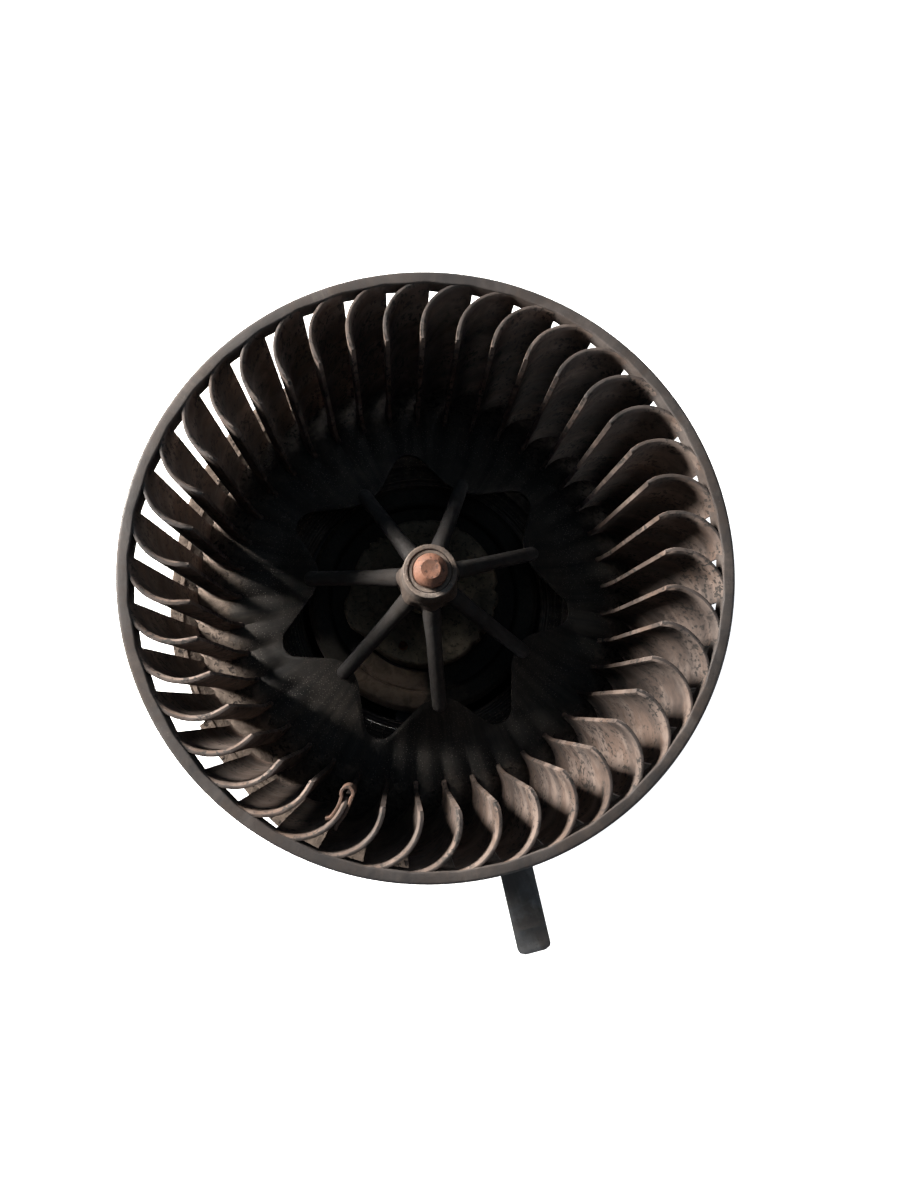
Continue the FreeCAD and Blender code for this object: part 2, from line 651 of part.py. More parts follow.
def motor_cradle():
    """Round cup around the motor, with an inner lip below and ears for the cover screws."""
    lip = CAN_RADIUS + 1.0
    lip_top = CRADLE_BOTTOM + 2
    wall = turned([(CRADLE_INNER_RADIUS, 0.0), (CRADLE_RADIUS, 0.0), (CRADLE_RADIUS, CRADLE_BOTTOM),
                   (lip, CRADLE_BOTTOM), (lip, lip_top), (CRADLE_INNER_RADIUS, lip_top)])
    cup = joined([wall] + screw_ears(CRADLE_BOTTOM, CRADLE_BOTTOM + EAR_HEIGHT))
    for hole in screw_holes():
        cup = cup.cut(hole)
    return cup


def rubber_isolators():
    """Three rubber pads near each end of the motor, between the can and the cradle."""
    pads = []
    for low in ISOLATOR_BOTTOMS:
        pad = sector(CAN_RADIUS, CRADLE_INNER_RADIUS, low, low + ISOLATOR_HEIGHT, 0, ISOLATOR_ANGLE)
        pads += around(pad, 3, SCREW_ANGLES[0])
    return Part.makeCompound(pads)


def rear_cover():
    """Vented cup that closes the cradle and is the flat base the blower stands on."""
    floor = COVER_BOTTOM + COVER_WALL
    inside = disc(CRADLE_RADIUS - COVER_WALL, floor, CRADLE_BOTTOM)
    cup = disc(CRADLE_RADIUS, COVER_BOTTOM, CRADLE_BOTTOM)
    cup = joined([cup] + screw_ears(CRADLE_BOTTOM - COVER_EAR_HEIGHT, CRADLE_BOTTOM)).cut(inside)
    half = VENT_SLOT_WIDTH / 2
    inner, outer = VENT_SLOT_RADII
    slot = box((inner, -half, COVER_BOTTOM - 1), (outer, half, floor + 1))
    slots = around(slot, VENT_SLOT_COUNT, 180.0 / VENT_SLOT_COUNT)
    for cutter in slots + screw_holes() + [pin_solid(-1), pin_solid(1)]:
        cup = cup.cut(cutter)
    return cup


def cover_screws():
    """Pan-head screws with a round drive recess."""
    screws = []
    seat = CRADLE_BOTTOM - COVER_EAR_HEIGHT
    for angle in SCREW_ANGLES:
        head_at = polar(SCREW_CIRCLE, angle, seat - HEAD_HEIGHT)
        shank = Part.makeCylinder(SCREW_RADIUS, SCREW_LENGTH, polar(SCREW_CIRCLE, angle, seat))
        head = Part.makeCylinder(HEAD_RADIUS, HEAD_HEIGHT, head_at)
        drive = Part.makeCylinder(DRIVE_RADIUS, DRIVE_DEPTH, head_at)
        screws.append(joined([shank, head]).cut(drive))
    return Part.makeCompound(screws)


def connector_socket():
    """Open-ended rectangular shroud on the cover's +Y side."""
    shroud = box((-SOCKET_HALF_WIDTH, CRADLE_RADIUS - 3, SOCKET_MIDDLE - SOCKET_HALF_HEIGHT),
                 (SOCKET_HALF_WIDTH, SOCKET_MOUTH, SOCKET_MIDDLE + SOCKET_HALF_HEIGHT))
    inner_x = SOCKET_HALF_WIDTH - SOCKET_WALL
    inner_z = SOCKET_HALF_HEIGHT - SOCKET_WALL
    cavity = box((-inner_x, SOCKET_BACK, SOCKET_MIDDLE - inner_z),
                 (inner_x, SOCKET_MOUTH + 1, SOCKET_MIDDLE + inner_z))
    shroud = shroud.cut(cavity).cut(disc(CRADLE_RADIUS, COVER_BOTTOM, CRADLE_BOTTOM + 1))
    return shroud.cut(pin_solid(-1)).cut(pin_solid(1))


def pin_solid(side):
    middle = side * LEAD_SPACING / 2
    return box((middle - PIN_THICKNESS / 2, LEAD_Y - 1.5, SOCKET_MIDDLE - PIN_HALF_HEIGHT),
               (middle + PIN_THICKNESS / 2, SOCKET_MOUTH - 3, SOCKET_MIDDLE + PIN_HALF_HEIGHT))


def terminal_pins():
    return Part.makeCompound([pin_solid(-1), pin_solid(1)])


def locking_tongue():
    """Springy tongue that locks the turned flange, with rounded corners and a cross ridge."""
    half = TONGUE_WIDTH / 2
    low = TONGUE_TOP - TONGUE_THICKNESS
    bar = box((TONGUE_ROOT, -half, low), (TONGUE_END, half, TONGUE_TOP))
    corners = [e for e in bar.Edges
               if abs(e.tangentAt(0).z) > 0.9 and e.CenterOfMass.x > TONGUE_END - 1]
    bar = bar.makeFillet(TONGUE_CORNER, corners)
    ridge_length, ridge_height = TONGUE_RIDGE_SIZE
    ridge = box((TONGUE_RIDGE, -half, TONGUE_TOP),
                (TONGUE_RIDGE + ridge_length, half, TONGUE_TOP + ridge_height))
    return tongue_frame(joined([bar, ridge]))


def nodes():
    magnet_front, magnet_back = magnets()
    return {
        "fan_ring": fan_ring(),
        "fan_blades": fan_blades(),
        "fan_backplate": fan_backplate(),
        "fan_spokes": fan_spokes(),
        "fan_hub": fan_hub(),
        "hub_bush": hub_bush(),
        "balance_clip": balance_clip(),
        "motor_shaft": motor_shaft(),
        "armature_core": armature_core(),
        "armature_insulators": armature_insulators(),
        "armature_windings": armature_windings(),
        "commutator_core": commutator_core(),
        "commutator_segments": commutator_segments(),
        "thrust_washers": thrust_washers(),
        "motor_can": motor_can(),
        "motor_front_cap": motor_front_cap(),
        "motor_rear_cap": motor_rear_cap(),
        "magnet_front": magnet_front,
        "magnet_back": magnet_back,
        "magnet_clips": magnet_clips(),
        "front_bearing": bearing(*FRONT_BEARING),
        "rear_bearing": bearing(*REAR_BEARING),
        "bearing_retainers": bearing_retainers(),
        "oil_felts": oil_felts(),
        "brush_plate": brush_plate(),
        "brush_boxes": brush_boxes(),
        "brush_right": carbon_brush(),
        "brush_left": turn(carbon_brush(), 180),
        "brush_spring_right": brush_spring(),
        "brush_spring_left": turn(brush_spring(), 180),
        "choke_coils": choke_coils(),
        "suppression_capacitor": suppression_capacitor(),
        "motor_leads": motor_leads(),
        "mounting_flange": mounting_flange(),
        "motor_cradle": motor_cradle(),
        "rubber_isolators": rubber_isolators(),
        "rear_cover": rear_cover(),
        "cover_screws": cover_screws(),
        "connector_socket": connector_socket(),
        "terminal_pins": terminal_pins(),
        "locking_tongue": locking_tongue(),
    }


def main():
    os.makedirs("parts", exist_ok=True)
    for name, shape in nodes().items():
        shape.exportStep(f"parts/{name}.step")
        print(name, len(shape.Solids), "solids", round(shape.Volume, 1), "mm3", shape.isValid())


main()
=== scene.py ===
"""Looks of the heater blower: dusty black wheel, rusty shaft tip and grimy motor behind it."""
from math import acos, asin, atan2, cos, exp, pi, radians, sin, sqrt

import bmesh
import bpy
from mathutils import Matrix, Vector


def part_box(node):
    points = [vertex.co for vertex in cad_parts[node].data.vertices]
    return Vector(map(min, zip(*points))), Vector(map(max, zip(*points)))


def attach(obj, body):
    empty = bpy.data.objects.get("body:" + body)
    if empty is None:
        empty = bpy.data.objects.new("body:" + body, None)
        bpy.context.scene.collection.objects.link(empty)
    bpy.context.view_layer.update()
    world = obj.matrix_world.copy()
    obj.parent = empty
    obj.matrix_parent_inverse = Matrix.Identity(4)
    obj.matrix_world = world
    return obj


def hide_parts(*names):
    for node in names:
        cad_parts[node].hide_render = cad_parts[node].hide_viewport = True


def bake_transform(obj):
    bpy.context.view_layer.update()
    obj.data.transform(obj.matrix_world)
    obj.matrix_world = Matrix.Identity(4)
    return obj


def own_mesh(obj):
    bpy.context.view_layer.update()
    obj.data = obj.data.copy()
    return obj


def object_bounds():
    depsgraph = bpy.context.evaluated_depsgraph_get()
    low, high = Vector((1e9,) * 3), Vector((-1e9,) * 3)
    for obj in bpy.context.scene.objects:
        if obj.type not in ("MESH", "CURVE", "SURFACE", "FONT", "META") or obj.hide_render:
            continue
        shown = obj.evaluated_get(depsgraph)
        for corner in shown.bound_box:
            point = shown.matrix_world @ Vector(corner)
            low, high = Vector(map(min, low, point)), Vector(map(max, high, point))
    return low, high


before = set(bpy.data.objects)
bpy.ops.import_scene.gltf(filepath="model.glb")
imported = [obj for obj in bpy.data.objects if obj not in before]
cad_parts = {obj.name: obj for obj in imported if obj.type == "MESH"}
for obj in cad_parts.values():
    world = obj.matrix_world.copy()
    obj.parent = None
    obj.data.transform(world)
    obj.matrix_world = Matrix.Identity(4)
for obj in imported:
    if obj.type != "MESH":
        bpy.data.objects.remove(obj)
cad_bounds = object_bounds()

MM = 0.001
TAU = 2 * pi

# ---- sizes in millimetres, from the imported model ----


def top(node):
    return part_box(node)[1].z / MM


def bottom(node):
    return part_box(node)[0].z / MM


def reach(node):
    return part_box(node)[1].x / MM


RING_TOP = top("fan_ring")
RING_BOTTOM = bottom("fan_ring")
RING_RADIUS = reach("fan_ring")
WHEEL_RADIUS = reach("fan_backplate")
BLADE_TOP = top("fan_blades")
HUB_TOP = top("fan_hub")
HUB_BOTTOM = bottom("fan_hub")
BUSH_TOP = top("hub_bush")
BUSH_RADIUS = reach("hub_bush")
SHAFT_TOP = top("motor_shaft")
SHAFT_RADIUS = reach("motor_shaft")
BOSS_TOP = top("motor_front_cap")
CAP_BOTTOM = bottom("motor_front_cap")
CAN_RADIUS = reach("motor_can")
CRADLE_BOTTOM = bottom("motor_cradle")

# ---- shape of the wheel ----
BLADE_COUNT = 41
BLADE_STEP = TAU / BLADE_COUNT
BLADE_FIRST = radians(4.3)
TIP_RADIUS = 54.5  # circle of the blades' inner tips
BLADE_CURVE = 11.1  # radius of each blade's arc
BLADE_LEAN = radians(7.3)  # lean of its inner end from the radial line
BLADE_END = radians(104.0)  # turn of the arc from tip to ring
BLADE_JOINT = radians(101.0)  # turn at which two flats of the ring meet
BLADE_REACH = 68.2  # no point of a blade lies further out
BLADE_HALF = 0.64  # half its thickness
FOOT_FILLET = [(0.0, 1.5), (0.3, 0.9), (0.9, 0.42), (1.8, 0.15), (3.0, 0.0)]  # height, flare
TOP_BEVEL = [(0.62, 0.0, 0.0), (0.5, 0.0, -0.06), (0.16, -0.02, -0.36), (0.04, -0.07, -0.44),
             (0.0, -0.16, -0.5)]  # depth below the top, growth outward and inward
RING_INNER = 67.4
SPOKE_COUNT = 7
SPOKE_STEP = TAU / SPOKE_COUNT
SPOKE_FIRST = radians(19.9)
SPOKE_RADIUS = 2.1
SPOKE_START = (7.2, 48.9)  # radius and height of a spoke's end in the hub
SPOKE_FOOT = (31.3, 28.5)  # and of its end on the petal
PETAL_TIP = 29.4
PETAL_NOSE = 9.0
LOBE_OUTER = 42.7
LOBE_CORNER = 4.5
PLATE_PROFILE = [(24.0, 36.5), (28.0, 32.9), (36.0, 22.0), (43.0, 13.5), (TIP_RADIUS, 10.0),
                 (WHEEL_RADIUS, 6.2)]
PLATE_THICKNESS = 2.1
FLUTE_RISE = 2.3
CLIP_BLADE = 28

# ---- shape of the motor, the flange and the tongue ----
BOSS_RADIUS = 20.5
GROOVE_FLOOR = 10.6
SHOULDER_INNER = 27.2
SHOULDER_TOP = 14.5
PLATFORM = radians(247.0)  # direction of the shelf in the cap's groove
EAR = radians(198.0)  # direction of the widest place of the boss's rim
# direction in degrees, depth, and width in degrees of each chip in the boss's rim
RIM_CHIPS = [(3, 1.2, 3), (-14, 0.9, 3), (-24, 1.4, 3.5), (-36, 1.7, 3), (-47, 1.1, 4), (60, 0.5, 3),
             (93, 0.4, 4), (127, 1.7, 2.6), (134, 1.1, 2), (142, 0.8, 2), (165, 0.5, 2)]
FLANGE_RADIUS = 76.0
FLANGE_THICKNESS = 2.5
FLANGE_LOBES = [(11.0, radians(122.0), 69.2), (17.0, radians(-16.0), 74.0),
                (16.0, radians(275.0), 67.0)]  # offset, direction and radius of each round
NOTCHES = [radians(a) for a in (62.0, 202.0)]
NOTCH_HALF = radians(7.0)
NOTCH_RADIUS = 74.0
SPIGOT_RADIUS = 72.4
SPIGOT_INNER = 70.9
SPIGOT_HEIGHT = 4.0
GUSSET_COUNT = 9
GUSSET_DEPTH = 16.0
CRADLE_RADIUS = 39.0
CRADLE_INNER = 36.5
SCREW_BOSSES = [radians(a) for a in (30, 150, 270)]
SCREW_CIRCLE = 43.0
TONGUE_TURN = radians(-76.95)
TONGUE_SHIFT = 9.8  # distance of the tongue's line from the shaft
TONGUE_HALF = 5.0
TONGUE_ROOT = 60.5
TONGUE_END = 109.2
TONGUE_CORNER = 1.9
TONGUE_RIDGE = 101.9  # place of the cross ridge along the tongue
WIRE = 0.28  # radius of the brush springs' wire
CLIP_EDGE = 0.16
KEPT_EDGE = 0.22

# ---- light: places in metres, power in watts ----
KEY_PLACE = (-0.352, 0.160, 0.20)
KEY_TARGET = (0.0, -0.01, 0.05)
KEY_SIZE = 0.16
KEY_POWER = 11.5
KEY_COLOUR = (1.0, 0.94, 0.88)
TOP_PLACE = (0.1, 0.2, 1.3)
TOP_SIZE = 1.2
TOP_POWER = 2.2
TOP_COLOUR = (0.64, 0.82, 1.0)
SIDE_PLACES = {"side_right": (0.7, -0.15, -0.03), "side_front": (-0.15, -0.7, -0.03),
               "side_back": (0.2, 0.7, -0.03)}
SIDE_SIZE = 0.5
SIDE_POWER = 4.0
SIDE_COLOUR = (0.90, 0.95, 1.0)
WORLD_COLOUR = (0.55, 0.75, 1.0, 1.0)
WORLD_STRENGTH = 0.022
BACKDROP_COLOUR = (0.90, 0.91, 0.92, 1.0)
FLOOR_SIZE = 3.0
FLOOR_GAP = 0.0003
FLOOR_GLOW = 0.9

# ---- camera ----
CAMERA_PLACE = Vector((-0.0075, -0.0317, 0.2009 + RING_TOP * MM))
CAMERA_LOOK = Vector((0.0576, 0.1182, -0.9913))
CAMERA_UP = Vector((-0.007, 0.9926, 0.118))
CAMERA_LENS = 27.03
CAMERA_SENSOR = 36.0


# ---- small maths helpers ----
def clamp(value, low=0.0, high=1.0):
    return max(low, min(high, value))


def ease(value, start, end):
    """0 before start, 1 after end, smooth between."""
    t = clamp((value - start) / (end - start))
    return t * t * (3 - 2 * t)


def between(points, x):
    """Value at x on a broken line of (x, y) points."""
    for (x0, y0), (x1, y1) in zip(points, points[1:]):
        if x <= x1:
            return y0 + (y1 - y0) * (x - x0) / (x1 - x0)
    return points[-1][1]


def smooth_between(points, x, spread):
    """The same, with its corners rounded."""
    first, last = points[0][0], points[-1][0]
    samples = [between(points, clamp(x + spread * k / 3, first, last)) for k in range(-3, 4)]
    return sum(samples) / len(samples)


def turned_by(angle, middle):
    """How far an angle is turned from another, from -pi to pi."""
    return (angle - middle + pi) % TAU - pi


def polar(radius, angle, height=0.0):
    return Vector((radius * cos(angle), radius * sin(angle), height))


def circle(centre, side, other, radius, count):
    """Points round a centre, in the plane of two unit vectors."""
    turns = [TAU * k / count for k in range(count)]
    return [centre + (side * cos(a) + other * sin(a)) * radius for a in turns]


def rounded(points, radius, steps):
    """Closed outline of (x, y) points with its corners rounded."""
    result = []
    count = len(points)
    for index, (x, y) in enumerate(points):
        here = Vector((x, y))
        before = Vector(points[index - 1]) - here
        after = Vector(points[(index + 1) % count]) - here
        cut = min(radius, 0.45 * before.length, 0.45 * after.length)
        start = here + before.normalized() * cut
        end = here + after.normalized() * cut
        for k in range(steps + 1):
            t = k / steps
            result.append(tuple((1 - t) ** 2 * start + 2 * t * (1 - t) * here + t * t * end))
    return result


# ---- mesh helpers ----
def new_object(name, data):
    obj = bpy.data.objects.new(name, data)
    bpy.context.scene.collection.objects.link(obj)
    return obj


def ease_edges(obj, width):
    bevel = obj.modifiers.new("edges", "BEVEL")
    bevel.width = width * MM
    bevel.segments = 2
    return bevel


class Build:
    """Points and faces of one piece in millimetres, gathered from several closed forms."""

    def __init__(self):
        self.points = []
        self.faces = []

    def rows(self, rows, closed_rows=False):
        """Skin over rows of points; each row is a closed loop."""
        count = len(rows[0])
        points = [p for row in rows for p in row]
        faces = []
        row_pairs = len(rows) if closed_rows else len(rows) - 1
        for a in range(row_pairs):
            b = (a + 1) % len(rows)
            for i in range(count):
                j = (i + 1) % count
                faces.append([a * count + i, a * count + j, b * count + j, b * count + i])
        if not closed_rows:
            faces.append(list(range(count)))
            faces.append([(len(rows) - 1) * count + i for i in range(count)])
        first = len(self.points)
        self.points += [Vector(p) for p in points]
        self.faces += [[first + i for i in face] for face in faces]
        return self

    def lathe(self, profile, segments, shift=None, centre=(0, 0, 0)):
        """Closed profile of (radius, height) turned about Z through a centre; shift moves each point."""
        rows = []
        for k in range(segments):
            angle = TAU * k / segments
            row = []
            for r, z in profile:
                radius, height = shift(r, z, angle) if shift else (r, z)
                row.append(Vector(centre) + polar(radius, angle, height))
            rows.append(row)
        return self.rows(rows, closed_rows=True)

    def prism(self, outline, low, high, edge, place=None):
        """Outline of (x, y) points raised from low to high with eased edges."""
        centre = sum((Vector(p) for p in outline), Vector((0, 0))) / len(outline)
        rows = []
        for z, inset in ((low, edge), (low + edge, 0), (high - edge, 0), (high, edge)):
            row = []
            for p in outline:
                p = Vector(p)
                pull = (centre - p).normalized() * inset * 1.2 if inset else Vector((0, 0))
                row.append(Vector((*(p + pull), z)))
            rows.append(row)
        if place:
            rows = [[place @ p for p in row] for row in rows]
        self.rows(rows)

    def capsule(self, start, end, radius, end_radius, flare):
        """Round tapered bar with domed ends; flare swells its first third."""
        around, caps, spans = 20, 5, 24
        axis = (end - start).normalized()
        side = axis.orthogonal().normalized()
        other = axis.cross(side)
        rings = []
        for k in range(1, caps + 1):
            a = pi / 2 * k / caps
            rings.append((start - axis * radius * cos(a), radius * sin(a) * (1 + flare)))
        for k in range(1, spans):
            t = k / spans
            swell = 1 + flare * (1 - ease(t, 0.04, 0.3))
            rings.append((start.lerp(end, t), (radius + (end_radius - radius) * t) * swell))
        for k in range(caps, 0, -1):
            a = pi / 2 * k / caps
            rings.append((end + axis * end_radius * cos(a), end_radius * sin(a)))
        self.rows([circle(centre, side, other, r, around) for centre, r in rings])

    def tube(self, path, radius, around=8):
        """Round wire along a line of points."""
        rows = []
        for index, point in enumerate(path):
            ahead = path[min(index + 1, len(path) - 1)] - path[max(index - 1, 0)]
            side = ahead.cross(Vector((0.31, 0.17, 0.93))).normalized()
            other = ahead.cross(side).normalized()
            rows.append(circle(point, side, other, radius, around))
        return self.rows(rows)

    def make(self, name, material, body, nodes, slot, sharp=38):
        """Mesh object riding on a body, if any, and standing for CAD nodes, if any; its slot argument is not
        used.
        """
        mesh = bpy.data.meshes.new(name)
        mesh.from_pydata([p * MM for p in self.points], [], self.faces)
        work = bmesh.new()
        work.from_mesh(mesh)
        bmesh.ops.remove_doubles(work, verts=work.verts, dist=1e-7)
        bmesh.ops.recalc_face_normals(work, faces=work.faces)
        work.to_mesh(mesh)
        work.free()
        mesh.shade_smooth()
        mesh.set_sharp_from_angle(angle=radians(sharp))
        obj = new_object(name, mesh)
        mesh.materials.append(material)
        if body:
            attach(obj, body)
        if nodes:
            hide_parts(*nodes)
        return obj


# ---- material helpers ----
class Nodes:
    """Short names for building one material's node tree."""

    def __init__(self, name):
        self.material = bpy.data.materials.new(name)
        self.material.use_nodes = True
        self.tree = self.material.node_tree
        self.tree.nodes.clear()
        self.shader = self.tree.nodes.new("ShaderNodeBsdfPrincipled")
        output = self.tree.nodes.new("ShaderNodeOutputMaterial")
        self.tree.links.new(self.shader.outputs[0], output.inputs[0])
        self.coords = self.tree.nodes.new("ShaderNodeTexCoord").outputs["Object"]
        self.geometry = self.tree.nodes.new("ShaderNodeNewGeometry")

    def link(self, source, target):
        """Sets an input from a number, a colour or another node's output."""
        if isinstance(source, (int, float)):
            target.default_value = source
        elif isinstance(source, tuple):
            needs_alpha = len(source) == 3 and len(target.default_value) == 4
            target.default_value = (*source, 1.0) if needs_alpha else source
        else:
            self.tree.links.new(source, target)

    def node(self, kind, inputs):
        """New node of a kind, with its inputs set or linked."""
        node = self.tree.nodes.new(kind)
        for socket, source in inputs.items():
            self.link(source, node.inputs[socket])
        return node

    def stretched(self, scale):
        """Object coordinates with their own scale on each axis."""
        return self.node("ShaderNodeMapping", {"Vector": self.coords, "Scale": scale}).outputs[0]

    def noise(self, scale, detail=4.0, rough=0.55, coords=None, warp=0.0):
        """Fractal noise with scale cells to the metre."""
        inputs = {"Vector": coords or self.coords, "Scale": scale, "Detail": detail, "Roughness": rough,
                  "Distortion": warp}
        return self.node("ShaderNodeTexNoise", inputs).outputs["Fac"]

    def cells(self, scale):
        """Distance to the nearest of scattered points."""
        return self.node("ShaderNodeTexVoronoi", {"Vector": self.coords, "Scale": scale}).outputs["Distance"]

    def math(self, operation, a, b=0.0, clamped=False):
        node = self.node("ShaderNodeMath", {0: a, 1: b})
        node.operation = operation
        node.use_clamp = clamped
        return node.outputs[0]

    def times(self, a, b, clamped=False):
        return self.math("MULTIPLY", a, b, clamped)

    def span(self, value, low, high, out_low=0.0, out_high=1.0):
        """Smooth step of a value from low to high."""
        node = self.node("ShaderNodeMapRange", {"Value": value, "From Min": low, "From Max": high,
                                                "To Min": out_low, "To Max": out_high})
        node.interpolation_type = "SMOOTHSTEP"
        return node.outputs["Result"]

    def mix(self, factor, a, b):
        """Colour between a, at factor 0, and b, at 1."""
        node = self.tree.nodes.new("ShaderNodeMix")
        node.data_type = "RGBA"
        for socket, source in (("Factor", factor), (6, a), (7, b)):
            self.link(source, node.inputs[socket])
        return node.outputs[2]

    def upward(self):
        """How far a surface faces +Z, from -1 to 1."""
        return self.node("ShaderNodeSeparateXYZ", {0: self.geometry.outputs["Normal"]}).outputs["Z"]

    def place(self, axis):
        """One coordinate of the surface, in metres."""
        return self.node("ShaderNodeSeparateXYZ", {0: self.coords}).outputs[axis]

    def radius(self):
        """Distance from the shaft, in metres."""
        x, y = self.place("X"), self.place("Y")
        return self.math("SQRT", self.math("ADD", self.times(x, x), self.times(y, y)))

    def rays(self, around, outward, up):
        """Coordinates that run round the shaft, outward and along it, each with its own stretch."""
        x, y, z, r = self.place("X"), self.place("Y"), self.place("Z"), self.radius()
        over = self.times(self.math("DIVIDE", x, r), around)
        across = self.times(self.math("DIVIDE", y, r), around)
        along = self.math("ADD", self.times(r, outward), self.times(z, up))
        return self.node("ShaderNodeCombineXYZ", {0: over, 1: across, 2: along}).outputs[0]

    def bump(self, height, strength, distance, normal=None):
        inputs = {"Strength": strength, "Distance": distance, "Height": height}
        if normal is not None:
            inputs["Normal"] = normal
        return self.node("ShaderNodeBump", inputs).outputs[0]

    def finish(self, colour, rough, normal=None, metal=0.0, specular=0.5):
        self.link(colour, self.shader.inputs["Base Color"])
        self.link(rough, self.shader.inputs["Roughness"])
        self.link(metal, self.shader.inputs["Metallic"])
        self.link(specular, self.shader.inputs["Specular IOR Level"])
        if normal is not None:
            self.link(normal, self.shader.inputs["Normal"])
        return self.material


def specks(n, scale, size, patch_scale, patch):
    """Scattered small spots: 1 inside a spot, 0 outside, and only in patches."""
    spots = n.span(n.cells(scale), size * 0.6, size, 1.0, 0.0)
    return n.times(spots, n.span(n.noise(patch_scale, 3, 0.6), patch - 0.06, patch + 0.06))


def scaled(colour, factor):
    return tuple(min(1.0, c * factor) for c in colour)


BLACK = (0.013, 0.013, 0.014)
SPECK_BLACK = (0.010, 0.009, 0.008)
PIT_BLACK = (0.012, 0.010, 0.009)
SOILED = (0.62, 0.55, 0.50)  # how much of each colour soiled dust keeps


def dusty_plastic(name, dust, top_dust, side_dust, streaks, grain, pits, flecks, flat_dust=None,
                  speck_level=0.33, base=BLACK):
    """Moulded plastic under patchy, streaked road dust, with dark specks and pale flecks.

    Walls, slopes and flat tops each have their own amount of dust. streaks is their stretch round
    the shaft, outward and along it, and a higher speck_level makes the dark specks larger."""
    n = Nodes(name)
    broad = n.noise(38, 5, 0.62, warp=0.5)
    fine = n.noise(520, 4, 0.65)
    streak = n.noise(1.0, 4, 0.6, n.rays(*streaks))
    film = n.span(n.upward(), 0.1, 0.85, side_dust, top_dust)
    if flat_dust is not None:
        film = n.times(film, n.span(n.upward(), 0.86, 0.97, 1.0, flat_dust / top_dust))
    film = n.times(film, n.span(broad, 0.32, 0.66, 0.5, 1.25))
    film = n.times(film, n.span(streak, 0.3, 0.7, 0.72, 1.22))
    film = n.times(film, n.span(fine, 0.2, 0.8, 0.75, 1.25), clamped=True)
    soiled = tuple(c * share for c, share in zip(dust, SOILED))
    cleaner = n.span(n.noise(75, 4, 0.6, warp=0.8), 0.42, 0.62)
    colour = n.mix(film, base, n.mix(cleaner, soiled, dust))
    tall_grain = n.noise(950, 3, 0.6, n.stretched((1.0, 1.0, 0.5)))
    dark = n.times(n.span(tall_grain, speck_level, speck_level + 0.05, 1.0, 0.0),
                   n.span(n.noise(85, 3, 0.6), 0.40, 0.56))
    colour = n.mix(n.times(dark, pits), colour, SPECK_BLACK)
    light_spots = specks(n, 1300, 0.16, 70, 0.56)
    colour = n.mix(n.times(light_spots, flecks), colour, scaled(dust, 2.6))
    rough = n.span(film, 0.0, 0.7, 0.45, 0.85)
    normal = n.bump(fine, 0.25 * grain, 0.0004)
    normal = n.bump(n.noise(2400, 2), 0.14 * grain, 0.0002, normal)
    return n.finish(colour, rough, normal, specular=0.4)


def crusted_plastic(name, base, film_dust, crust, start, end):
    """Plastic whose outer part, from start to end in metres, is caked with pitted dust."""
    n = Nodes(name)
    broad = n.noise(34, 5, 0.62, warp=0.6)
    fine = n.noise(480, 5, 0.7)
    streak = n.noise(1.0, 5, 0.65, n.rays(17.0, 22.0, 10.0))
    zone = n.span(n.radius(), start, end)
    ragged = n.math("ADD", zone, n.span(n.noise(150, 4, 0.7), 0.25, 0.75, -0.3, 0.3))
    caked = n.span(ragged, 0.2, 0.85)
    film = n.times(n.span(broad, 0.3, 0.7, 0.35, 1.0), n.span(streak, 0.32, 0.66, 0.5, 1.2), clamped=True)
    colour = n.mix(film, base, film_dust)
    sparkle = specks(n, 1500, 0.26, 80, 0.44)
    colour = n.mix(n.times(sparkle, 0.7), colour, scaled(film_dust, 3.4))
    tone = n.mix(n.span(fine, 0.35, 0.65), scaled(crust, 0.5), crust)
    flat_grain = n.noise(620, 3, 0.55, n.stretched((1, 1, 0.4)), 1.0)
    pit = n.times(n.span(flat_grain, 0.37, 0.45, 1.0, 0.0), n.span(n.noise(80, 2), 0.46, 0.54))
    tone = n.mix(pit, tone, PIT_BLACK)
    colour = n.mix(caked, colour, tone)
    height = n.math("SUBTRACT", n.times(caked, fine), n.times(pit, caked))
    normal = n.bump(height, 0.7, 0.0007, n.bump(n.noise(1500, 3, 0.7), 0.45, 0.0003))
    return n.finish(colour, n.span(caked, 0.0, 1.0, 0.72, 0.95), normal, specular=0.14)


def rusty(name, bright, dark, metal=0.15, specular=0.5, shade=None):
    """Rusted steel: orange bloom over brown, and pitted; shade, if given, paints shade and light into its
    colour.
    """
    n = Nodes(name)
    patch = n.noise(260, 6, 0.65, warp=0.6)
    grit = n.noise(1600, 4, 0.7)
    colour = n.mix(n.span(patch, 0.32, 0.66), dark, bright)
    colour = n.mix(n.span(grit, 0.55, 0.75, 0.0, 0.5), colour, scaled(bright, 1.6))
    pit = n.span(n.noise(850, 3, 0.6), 0.36, 0.43, 0.75, 0.0)
    colour = n.mix(pit, colour, scaled(dark, 0.35))
    normal = n.bump(grit, 0.5, 0.0003, n.bump(patch, 0.3, 0.0005, n.bump(pit, -0.4, 0.0003)))
    if shade:
        colour = shade(n, patch, colour)
    return n.finish(colour, n.span(grit, 0.2, 0.8, 0.6, 0.9), normal, metal=metal, specular=specular)


